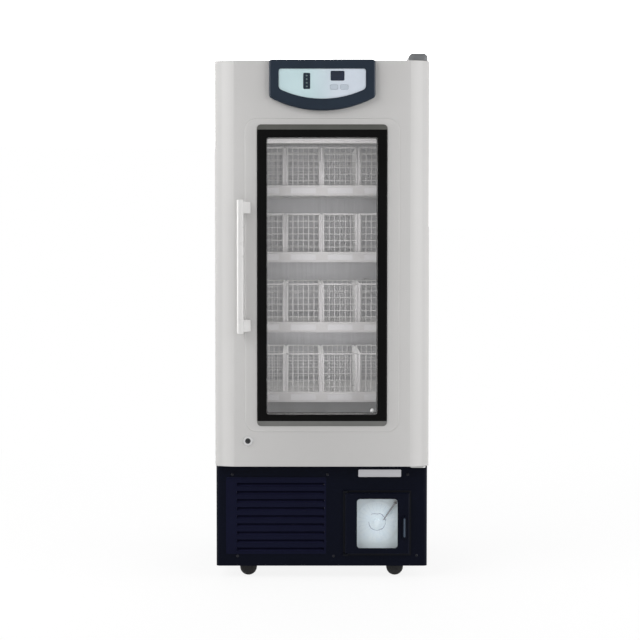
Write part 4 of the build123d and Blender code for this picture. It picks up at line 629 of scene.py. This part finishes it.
NODE_MATERIALS = {
    "outer_shell": SIDE_PAINT, "cabinet_foam": FOAM, "inner_liner": STAINLESS, "face_frame": FRAME_PLASTIC,
    "door_skin": DOOR_PAINT, "door_foam": FOAM, "door_inner_frame": FRAME_PLASTIC,
    "window_bezel": BEZEL_PLASTIC, "glass_panes": CLEAR_GLASS, "glass_spacer": SPACER_BLACK,
    "door_gasket": SEAL, "door_handle": HANDLE_PLASTIC, "control_housing": CONTROL_DARK,
    "control_fascia": FASCIA_FILM, "key_left": KEY_GREY, "key_right": KEY_GREY, "lock_housing": CHROME,
    "lock_barrel": DARK_METAL, "lock_strike": PLATED, "hinge_brackets": PLATED,
    "hinge_bushes": BLACK_PLASTIC, "hinge_cover": HINGE_CAP, "drawer_rails": RAIL_METAL,
    "air_duct_cover": DUCT_WHITE, "evaporator_coil": FINS, "evaporator_fan": FAN_BLACK,
    "fan_motors": PAN_STEEL, "light_strip": LAMP, "sensor_bottle": BOTTLE, "front_grille": BASE_DARK,
    "base_side_covers": BASE_SHEET, "rear_grille": BASE_SHEET, "power_inlet": BLACK_PLASTIC,
    "base_chassis": PAN_STEEL, "compressor": COMPRESSOR_BLACK, "condenser_coil": FINS,
    "condenser_fan": FAN_BLACK, "fan_shroud": BASE_SHEET, "refrigerant_lines": COPPER,
    "control_box": PAN_STEEL, "castor_brackets": PLATED, "castor_fork_left": CASTOR_BLACK,
    "castor_fork_right": CASTOR_BLACK, "front_wheel_left": TYRE, "front_wheel_right": TYRE,
    "rear_wheel_left": TYRE, "rear_wheel_right": TYRE, "recorder_body": RECORDER_BLACK,
    "recorder_door": BASE_DARK, "recorder_pane": RECORDER_GLASS, "chart_disc": CHART_PAPER,
    "pen_arm": PEN_METAL,
}
for tier in TIERS:
    NODE_MATERIALS[f"drawer_tray_{tier}"] = TRAY_WHITE
    NODE_MATERIALS[f"wire_baskets_{tier}"] = TRAY_WHITE

# Rounding of the CAD nodes' sharp edges, in millimetres
SOFTENED = {
    "door_skin": 0.8, "window_bezel": 0.8, "control_housing": 1.0, "control_fascia": 0.3,
    "key_left": 0.6, "key_right": 0.6, "hinge_cover": 1.2, "front_grille": 0.5, "recorder_door": 0.8,
    "recorder_body": 0.5, "outer_shell": 0.8, "lock_housing": 0.4, "lock_barrel": 0.3, "face_frame": 0.8,
    "air_duct_cover": 0.5, "door_gasket": 1.5, "compressor": 1.0, "control_box": 1.0,
}


def dress_nodes():
    """Gives every CAD node its finish. The handle is rounded already and only shaded."""
    for name, node in NODES.items():
        node.data.materials.clear()
        node.data.materials.append(NODE_MATERIALS[name])
        if name in SOFTENED:
            soften(node, SOFTENED[name] * MM)
    weigh_normals(NODES["door_handle"])


# Wire baskets, dividers and label holders

BASKET_WIDTH = 105.0 * MM
WIRE_RADIUS = 1.1 * MM
WIRE_CORNER = 5.0 * MM
WIRE_SIDES = 6
RIM_RADIUS = 2.4 * MM
RIM_CORNER = 15.0 * MM
RIM_SIDES = 10
LOOP_WIRES = 7          # level loops
COLUMN_WIRES = 7        # U-shaped wires from front to back
SIDE_WIRES = 24         # U-shaped wires from side to side
POST_WIDTH = 5.5 * MM   # flat posts at the four corners
POST_THICK = 1.2 * MM
POST_CORNER = 1.5 * MM
POST_BESIDE = 0.3 * MM  # inside the basket's width
POST_BEHIND = 0.1 * MM  # inside the basket's depth
POST_FOOT = 1.0 * MM    # above the basket's lower edge


def draw_basket(form, x, lo, hi):
    """One basket: a rim, level loops, U-shaped wires both ways, and a post at each corner."""
    half = BASKET_WIDTH / 2
    x0, x1 = x - half + RIM_RADIUS, x + half - RIM_RADIUS
    y0, y1 = lo.y + RIM_RADIUS, hi.y - RIM_RADIUS
    top, floor = hi.z - RIM_RADIUS, lo.z + WIRE_RADIUS
    loop = ((x0, y0), (x1, y0), (x1, y1), (x0, y1))
    rim = rounded_path([(a, b, top) for a, b in loop], RIM_CORNER, 4, closed=True)
    tube(form, rim, RIM_RADIUS, RIM_SIDES, closed=True)
    for i in range(LOOP_WIRES):
        z = floor + 3 * WIRE_RADIUS + i * (top - floor - 4 * WIRE_RADIUS) / LOOP_WIRES
        path = rounded_path([(a, b, z) for a, b in loop], WIRE_CORNER, 3, closed=True)
        tube(form, path, WIRE_RADIUS, WIRE_SIDES, closed=True)
    inset = 2 * WIRE_RADIUS
    left, right, front, back = x0 + inset, x1 - inset, y0 + inset, y1 - inset
    runs = []
    for column in spread(left, right, COLUMN_WIRES):
        low = floor + inset
        runs.append([(column, front, top), (column, front, low), (column, back, low), (column, back, top)])
    for row in spread(front, back, SIDE_WIRES):
        runs.append([(left, row, top), (left, row, floor), (right, row, floor), (right, row, top)])
    for run in runs:
        tube(form, rounded_path(run, WIRE_CORNER, 3), WIRE_RADIUS, WIRE_SIDES)
    for post_x in (x - half + POST_BESIDE, x + half - POST_BESIDE - POST_WIDTH):
        for post_y in (lo.y + POST_BEHIND, hi.y - POST_BEHIND - POST_THICK):
            rounded_plate(form, post_x, post_x + POST_WIDTH, lo.z + POST_FOOT, top, POST_CORNER,
                          post_y, post_y + POST_THICK, steps=3)


def make_baskets():
    for tier in TIERS:
        node = f"wire_baskets_{tier}"
        form = bmesh.new()
        for x in BASKET_X:
            draw_basket(form, x, *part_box(node))
        piece = make_piece(f"fine_baskets_{tier}", form, f"drawer_{tier}", WIRE_WHITE,
                           smooth=True)
        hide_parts(node)


DIVIDER_WIDTH = 3.4 * MM
DIVIDER_THICK = 1.2 * MM
DIVIDER_STRIP = 5.0 * MM        # height of the strip along the top
DIVIDER_FRONT = 0.2 * MM        # behind the baskets' front
DIVIDER_BACK = 2.0 * MM         # before the baskets' back
DIVIDER_DROP = 3.0 * MM         # below the baskets' rim


def make_dividers():
    """A pale hoop of strip between one basket and the next, standing on the tray."""
    for tier in TIERS:
        lo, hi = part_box(f"wire_baskets_{tier}")
        y0, y1 = lo.y + DIVIDER_FRONT, hi.y - DIVIDER_BACK
        z0, z1 = lo.z, hi.z - DIVIDER_DROP
        form = bmesh.new()
        for basket_x in BASKET_X[:-1]:
            x = basket_x + BASKET_PITCH / 2
            x0, x1 = x - DIVIDER_WIDTH / 2, x + DIVIDER_WIDTH / 2
            slab(form, (x0, y0, z0), (x1, y0 + DIVIDER_THICK, z1))
            slab(form, (x0, y1 - DIVIDER_THICK, z0), (x1, y1, z1))
            slab(form, (x0, y0 + DIVIDER_THICK, z1 - DIVIDER_STRIP), (x1, y1 - DIVIDER_THICK, z1))
        make_piece(f"dividers_{tier}", form, f"drawer_{tier}", WIRE_WHITE, rounding=0.4 * MM)


LABEL_WIDTH = 74 * MM
LABEL_HEIGHT = 19 * MM
LABEL_THICK = 0.5 * MM
LABEL_CORNER = 1.5 * MM
LABEL_MIDDLE = 14.5 * MM        # above the tray's lower edge
HOLDER_OVERHANG = 2 * MM        # past the label at each end
HOLDER_PROUD = 1.2 * MM
HOLDER_HEIGHT = 2 * MM


def make_label_holders():
    """A bare card in front of each basket, held on the drawer's lip by a strip above and below."""
    for tier in TIERS:
        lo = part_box(f"drawer_tray_{tier}")[0]
        middle = lo.z + LABEL_MIDDLE
        z0, z1 = middle - LABEL_HEIGHT / 2, middle + LABEL_HEIGHT / 2
        cards = bmesh.new()
        strips = bmesh.new()
        for x in BASKET_X:
            x0, x1 = x - LABEL_WIDTH / 2, x + LABEL_WIDTH / 2
            rounded_plate(cards, x0, x1, z0, z1, LABEL_CORNER, lo.y - LABEL_THICK, lo.y)
            for z in (z0, z1):
                slab(strips, (x0 - HOLDER_OVERHANG, lo.y - HOLDER_PROUD, z - HOLDER_HEIGHT / 2),
                     (x1 + HOLDER_OVERHANG, lo.y, z + HOLDER_HEIGHT / 2))
        body = f"drawer_{tier}"
        make_piece(f"label_cards_{tier}", cards, body, CARD)
        make_piece(f"label_rails_{tier}", strips, body, TRAY_WHITE, rounding=0.4 * MM)


# Screws

# Reach and height of a head's rings, as shares of its radius
CROSS_HUB = 0.16
CROSS_REACH = 0.5
HEAD_STEPS = ((CROSS_HUB, 0.25), (CROSS_REACH, 0.25), (CROSS_REACH, 0.6), (0.75, 0.5), (0.93, 0.3),
              (1.0, 0.0))
CROSS_ARMS = 4
ARM_POINTS = 4          # ring points from one arm to the next
FLAT_HEAD = 0.4         # share of a full head's height
MERGE = 0.001 * MM


def screw(form, place, axis, radius, flat=1.0):
    """A pan head on a face that looks along axis, with a sunk cross. A smaller flat gives a lower head."""
    turn = facing(axis)
    sides = CROSS_ARMS * ARM_POINTS
    rings = []
    for reach, height in HEAD_STEPS:
        ring = []
        for k in range(sides):
            in_arm = k % ARM_POINTS in (0, ARM_POINTS - 1)
            out = CROSS_HUB if reach == CROSS_REACH and not in_arm else reach
            angle = 2 * math.pi * (k + 0.5) / sides
            corner = Vector((out * math.cos(angle), out * math.sin(angle), height * flat)) * radius
            ring.append(form.verts.new(Vector(place) + turn @ corner))
        rings.append(ring)
    bridge(form, rings)
    form.faces.new(rings[0])
    bmesh.ops.remove_doubles(form, verts=[point for ring in rings for point in ring], dist=MERGE)


# Screws on the base's front, in millimetres right and up from the middle of its lower edge
BASE_SCREWS = ((-264, 271), (17, 271), (253, 271), (-249, 29), (35, 29), (280, 31))
BASE_SCREW_RADIUS = 4.2 * MM


def make_base_screws():
    form = bmesh.new()
    for x, z in BASE_SCREWS:
        screw(form, (x * MM, BASE_FACE, BASE_LO.z + z * MM), (0, -1, 0), BASE_SCREW_RADIUS)
    make_piece("base_screws", form, "cabinet", BLACK_SCREW)


SHEET_SCREW_RADIUS = 3.6 * MM
SHELL_SCREW_PITCH = 180.0 * MM
SHELL_SCREW_EDGE = 14.0 * MM
SHELL_TOP_SCREWS = (-100 * MM, 100 * MM)


def make_shell_screws():
    """Painted screws down both edges of the cabinet's back and along its top edge."""
    lo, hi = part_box("outer_shell")
    form = bmesh.new()
    top = hi.z - SHELL_SCREW_EDGE
    count = round((hi.z - lo.z) / SHELL_SCREW_PITCH)
    places = [(x, top) for x in SHELL_TOP_SCREWS]
    for z in spread(lo.z + SHELL_SCREW_EDGE, top, count):
        places += [(lo.x + SHELL_SCREW_EDGE, z), (hi.x - SHELL_SCREW_EDGE, z)]
    for x, z in places:
        screw(form, (x, hi.y, z), (0, 1, 0), SHEET_SCREW_RADIUS, FLAT_HEAD)
    make_piece("shell_screws", form, "cabinet", PAINTED_SCREW)


# How far the covers' screws lie in from each edge
COVER_EDGES = {"low": 18 * MM, "high": 14 * MM, "front": 30 * MM, "back": 24 * MM, "side": 16 * MM}


def make_cover_screws():
    """Black screws on the base's side covers and rear grille."""
    lo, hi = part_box("base_side_covers")
    rear_lo, rear_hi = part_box("rear_grille")
    form = bmesh.new()
    for z in (lo.z + COVER_EDGES["low"], hi.z - COVER_EDGES["high"]):
        for y in (lo.y + COVER_EDGES["front"], (lo.y + hi.y) / 2, hi.y - COVER_EDGES["back"]):
            screw(form, (lo.x, y, z), (-1, 0, 0), SHEET_SCREW_RADIUS, FLAT_HEAD)
            screw(form, (hi.x, y, z), (1, 0, 0), SHEET_SCREW_RADIUS, FLAT_HEAD)
        for x in (rear_lo.x + COVER_EDGES["side"], 0, rear_hi.x - COVER_EDGES["side"]):
            screw(form, (x, rear_hi.y, z), (0, 1, 0), SHEET_SCREW_RADIUS, FLAT_HEAD)
    make_piece("cover_screws", form, "cabinet", BLACK_SCREW)


# Small pieces of the door

# Display and lamp column. Drops are below the film's top, and depths are behind its front.
PANEL_CORNER = 3.2 * MM
PANEL_BACK = 0.8 * MM
DISPLAY_X = (24 * MM, 64 * MM)
DISPLAY_DROP = (34.5 * MM, 6.5 * MM)
DISPLAY_FRONT = 0.1 * MM
COLUMN_X = (-55 * MM, -35 * MM)
COLUMN_DROP = (58.5 * MM, 12.5 * MM)
COLUMN_FRONT = 0.2 * MM
LENSES = 4
LENS_DROP = 20.0 * MM
LENS_PITCH = 10.4 * MM
LENS_PROFILE = ((0.0, 1.0 * MM), (1.4 * MM, 0.8 * MM), (2.3 * MM, 0.3 * MM), (2.5 * MM, 0.0))


def make_indicators():
    """Display window, lamp column and its small lenses on the control panel."""
    front, top = FASCIA_LO.y, FASCIA_HI.z
    back = front + PANEL_BACK
    display = bmesh.new()
    rounded_plate(display, *DISPLAY_X, top - DISPLAY_DROP[0], top - DISPLAY_DROP[1], PANEL_CORNER,
                  front + DISPLAY_FRONT, back)
    column = bmesh.new()
    rounded_plate(column, *COLUMN_X, top - COLUMN_DROP[0], top - COLUMN_DROP[1], PANEL_CORNER,
                  front + COLUMN_FRONT, back)
    lenses = bmesh.new()
    for i in range(LENSES):
        centre = (sum(COLUMN_X) / 2, front + COLUMN_FRONT, top - LENS_DROP - i * LENS_PITCH)
        lathe(lenses, LENS_PROFILE, centre, (0, -1, 0), sides=20)
    make_piece("display_window", display, "door", DISPLAY_DARK, rounding=0.25 * MM)
    make_piece("lamp_column", column, "door", CONTROL_DARK, rounding=0.25 * MM)
    make_piece("lamp_lenses", lenses, "door", LAMP_LENS, smooth=True)


CAP_IN = 14.3 * MM              # from the window's right edge
CAP_UP = 10.9 * MM              # from its lower edge
CAP_PROFILE = ((0.0, 5.0 * MM), (3.5 * MM, 4.6 * MM), (5.6 * MM, 3.2 * MM), (6.5 * MM, 0.8 * MM),
               (6.6 * MM, 0.0), (0.0, 0.0))


def make_door_cap():
    """Small white cap of the door's sensor, on the glass at the lower right."""
    form = bmesh.new()
    lathe(form, CAP_PROFILE, (WINDOW_X - CAP_IN, GLASS_LO.y, WINDOW_Z[0] + CAP_UP), (0, -1, 0))
    make_piece("sensor_cap", form, "door", CARD, smooth=True)


BEAD_CORNER = 6.0 * MM
BEAD_THICK = 1.0 * MM           # inward from the opening's edge
BEAD_FLANGE = 6.0 * MM          # outward over the liner
BEAD_GAP = 0.1 * MM             # clear of the opening's edge and of the pane
BEAD_INNER_SLOPE = 0.8 * MM     # widths of the slopes at the flange's edges
BEAD_OUTER_SLOPE = 1.0 * MM
# How far the flange's underside, outer edge, inner edge and top lie behind the liner's back
BEAD_DEPTHS = (0.05 * MM, 0.8 * MM, 0.9 * MM, 1.6 * MM)


def make_glazing_bead():
    """Black bead that holds the inner pane, turned out over the back of the door's liner."""
    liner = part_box("door_inner_frame")[1].y
    under, outer, inner, top = [liner + depth for depth in BEAD_DEPTHS]
    pane = GLASS_HI.y + BEAD_GAP
    profile = ((-BEAD_GAP, pane), (-BEAD_THICK, pane), (-BEAD_THICK, inner),
               (BEAD_INNER_SLOPE - BEAD_THICK, top), (BEAD_FLANGE - BEAD_OUTER_SLOPE, top),
               (BEAD_FLANGE, outer), (BEAD_FLANGE, under), (-BEAD_GAP, under))
    form = bmesh.new()
    frame_strip(form, -WINDOW_X, WINDOW_X, *WINDOW_Z, BEAD_CORNER, profile)
    make_piece("glazing_bead", form, "door", SPACER_BLACK, rounding=0.2 * MM)


# Small pieces of the base and the recorder

PLATE_X = (108 * MM, 234 * MM)
PLATE_Z = (300 * MM, 322 * MM)          # above the floor
PLATE_THICK = 0.8 * MM
PLATE_CORNER = 3 * MM
PLATE_RIM = 1.6 * MM            # width of its raised edge
PLATE_STEP = 0.3 * MM           # width and height of the step inside the edge


def make_plate():
    """A bare metal plate with a raised edge, above the recorder."""
    form = bmesh.new()
    rounded_plate(form, *PLATE_X, *PLATE_Z, PLATE_CORNER, BASE_FACE - PLATE_THICK, BASE_FACE)
    middle = BASE_FACE - PLATE_THICK / 2
    front = [face for face in form.faces if all(point.co.y < middle for point in face.verts)]
    bmesh.ops.inset_region(form, faces=front, thickness=PLATE_RIM, depth=0.0)
    bmesh.ops.inset_region(form, faces=front, thickness=PLATE_STEP, depth=-PLATE_STEP)
    make_piece("bare_plate", form, "cabinet", PLATE_METAL, rounding=0.2 * MM)


CATCH_IN = 15.5 * MM            # catch's middle from the recorder door's right edge
CATCH_DROP = 11 * MM            # and below the door's middle
# Size, corners and depth of the grey strip that is a painted highlight on the catch
HIGHLIGHT_STRIP_SIZE = (5.2 * MM, 56 * MM)
HIGHLIGHT_STRIP_CORNER = 2.5 * MM
HIGHLIGHT_STRIP_PROUD = 0.3 * MM
HIGHLIGHT_STRIP_SUNK = 0.5 * MM


def make_catch_highlight():
    """A grey strip along the front of the catch on the recorder's door, which is a painted highlight on the
    catch.
    """
    x = RECORDER_HI.x - CATCH_IN
    z = (RECORDER_LO.z + RECORDER_HI.z) / 2 - CATCH_DROP
    width, height = HIGHLIGHT_STRIP_SIZE
    form = bmesh.new()
    rounded_plate(form, x - width / 2, x + width / 2, z - height / 2, z + height / 2, HIGHLIGHT_STRIP_CORNER,
                  RECORDER_LO.y - HIGHLIGHT_STRIP_PROUD, RECORDER_LO.y + HIGHLIGHT_STRIP_SUNK)
    make_piece("catch_highlight_strip", form, "recorder_door", CATCH_HIGHLIGHT, rounding=0.2 * MM)


CHART_PLATE_MARGIN = 8 * MM     # outside the recorder's pane
CHART_PLATE_CORNER = 6 * MM
CHART_PLATE_THICK = 0.2 * MM
CHART_PLATE_GAP = 0.06 * MM     # behind the chart


def make_chart_plate():
    """Pale plate behind the chart, which fills the recorder's window."""
    front = CHART_HI.y + CHART_PLATE_GAP
    margin = CHART_PLATE_MARGIN
    form = bmesh.new()
    rounded_plate(form, PANE_LO.x - margin, PANE_HI.x + margin, PANE_LO.z - margin, PANE_HI.z + margin,
                  CHART_PLATE_CORNER, front, front + CHART_PLATE_THICK)
    make_piece("chart_plate", form, "cabinet", CHART_PLATE)


# Floor, light and camera

FLOOR_HALF = 14.0
FLOOR_GREY = 0.86
FLOOR_FADE = (0.8, 3.0)         # metres from the middle over which the shadow fades
FLOOR_GLOW = (0.87, 1.0)        # share of plain white near the object and far from it


def floor_material():
    """Pale ground that the camera sees as near white, with the object's shadow kept."""
    material, tree, shader = new_material("pale_floor")
    shader.inputs["Roughness"].default_value = 0.9
    dark, light = (FLOOR_GREY,) * 3, (FLOOR_GREY * 1.02,) * 3
    tree.links.new(mix_colours(tree, uneven(tree, 0.6), dark, light), shader.inputs["Base Color"])
    glow = tree.nodes.new("ShaderNodeEmission")
    glow.inputs["Strength"].default_value = 1.0
    away = tree.nodes.new("ShaderNodeVectorMath")
    away.operation = "LENGTH"
    tree.links.new(object_place(tree), away.inputs[0])
    share = remap(tree, away.outputs["Value"], *FLOOR_GLOW, *FLOOR_FADE)
    seen = math_node(tree, "MULTIPLY", ray_is(tree, "Camera", "Glossy", "Transmission"), share)
    mix_shaders(tree, seen, shader, glow)
    return material


def make_floor():
    form = bmesh.new()
    corners = ((-1, -1), (1, -1), (1, 1), (-1, 1))
    form.faces.new([form.verts.new((x * FLOOR_HALF, y * FLOOR_HALF, 0)) for x, y in corners])
    mesh = bpy.data.meshes.new("floor")
    form.to_mesh(mesh)
    form.free()
    mesh.materials.append(floor_material())
    floor = bpy.data.objects.new("floor", mesh)
    bpy.context.scene.collection.objects.link(floor)


WORLD_LEVEL = 0.38              # as a light; the camera and mirrors see white


def make_world():
    world = bpy.data.worlds.new("studio")
    world.use_nodes = True
    tree = world.node_tree
    background = tree.nodes["Background"]
    background.inputs["Color"].default_value = (1, 1, 1, 1)
    level = math_node(tree, "MAXIMUM", ray_is(tree, "Camera", "Glossy", "Transmission"), WORLD_LEVEL)
    tree.links.new(level, background.inputs["Strength"])
    bpy.context.scene.world = world


# Name, place and size in metres, and watts
LIGHTS = (
    ("key", (-2.4, -2.6, 3.0), (2.4, 2.0), 62),
    ("fill", (2.6, -2.8, 1.8), (2.2, 2.6), 36),
    ("left_side", (-3.4, -0.4, 1.2), (1.6, 2.6), 72),
    ("right_side", (3.4, -0.4, 1.2), (1.6, 2.6), 70),
    ("back_left", (-1.0, 3.7, 2.4), (2.4, 2.0), 36),
    ("back_right", (1.0, 3.7, 2.0), (2.4, 2.0), 30),
)
LIGHT_AIM = (0, 0, 0.8)

# Watts above each drawer, which stand for light that comes in through the door
TIER_POWERS = {1: 0.27, 2: 0.2, 3: 0.11, 4: 0.19}
TIER_LIGHT_SIZE = (0.42, 0.36)
TIER_LIGHT_RISE = 5 * MM        # above the baskets' rims


def area_light(name, place, aim, size, power, hidden=False):
    light = bpy.data.lights.new(name, "AREA")
    light.shape = "RECTANGLE"
    light.size, light.size_y = size
    light.energy = power
    lamp = bpy.data.objects.new(name, light)
    lamp.location = place
    lamp.rotation_euler = (Vector(aim) - Vector(place)).to_track_quat("-Z", "Y").to_euler()
    lamp.visible_camera = lamp.visible_transmission = lamp.visible_glossy = not hidden
    bpy.context.scene.collection.objects.link(lamp)


def make_lights():
    for name, place, size, power in LIGHTS:
        area_light(name, place, LIGHT_AIM, size, power)
    for tier, power in TIER_POWERS.items():
        lo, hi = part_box(f"wire_baskets_{tier}")
        place = Vector((0, (lo.y + hi.y) / 2, hi.z + TIER_LIGHT_RISE))
        area_light(f"tier_{tier}", place, place - Vector((0, 0, 1)), TIER_LIGHT_SIZE, power, hidden=True)


PHOTO_PIXEL = 2.910 * MM        # at the door's front
IMAGE_PIXELS = 640
SENSOR = 36.0                   # millimetres
CAMERA_X = -62.0 * MM
CAMERA_Z = 1028.0 * MM
CAMERA_DISTANCE = 5.0           # to the door's front
CAMERA_TILT = 2.39              # degrees below level
CAMERA_SHIFT = (0.03, -0.0285)  # of the picture's width, right and up
CAMERA_SIGHT = 60               # metres


def make_camera():
    """The photograph's front view, from a little left and above."""
    data = bpy.data.cameras.new("camera")
    data.sensor_width = SENSOR
    data.lens = SENSOR * CAMERA_DISTANCE / (IMAGE_PIXELS * PHOTO_PIXEL)
    data.shift_x, data.shift_y = CAMERA_SHIFT
    data.clip_end = CAMERA_SIGHT
    camera = bpy.data.objects.new("camera", data)
    camera.location = (CAMERA_X, DOOR_FACE - CAMERA_DISTANCE, CAMERA_Z)
    camera.rotation_euler = (math.radians(90 - CAMERA_TILT), 0, 0)
    bpy.context.scene.collection.objects.link(camera)
    bpy.context.scene.camera = camera


bpy.context.scene.view_settings.view_transform = "Standard"
dress_nodes()
make_baskets()
make_dividers()
make_label_holders()
make_base_screws()
make_shell_screws()
make_cover_screws()
make_plate()
make_indicators()
make_door_cap()
make_glazing_bead()
make_catch_highlight()
make_chart_plate()
make_floor()
make_world()
make_lights()
make_camera()
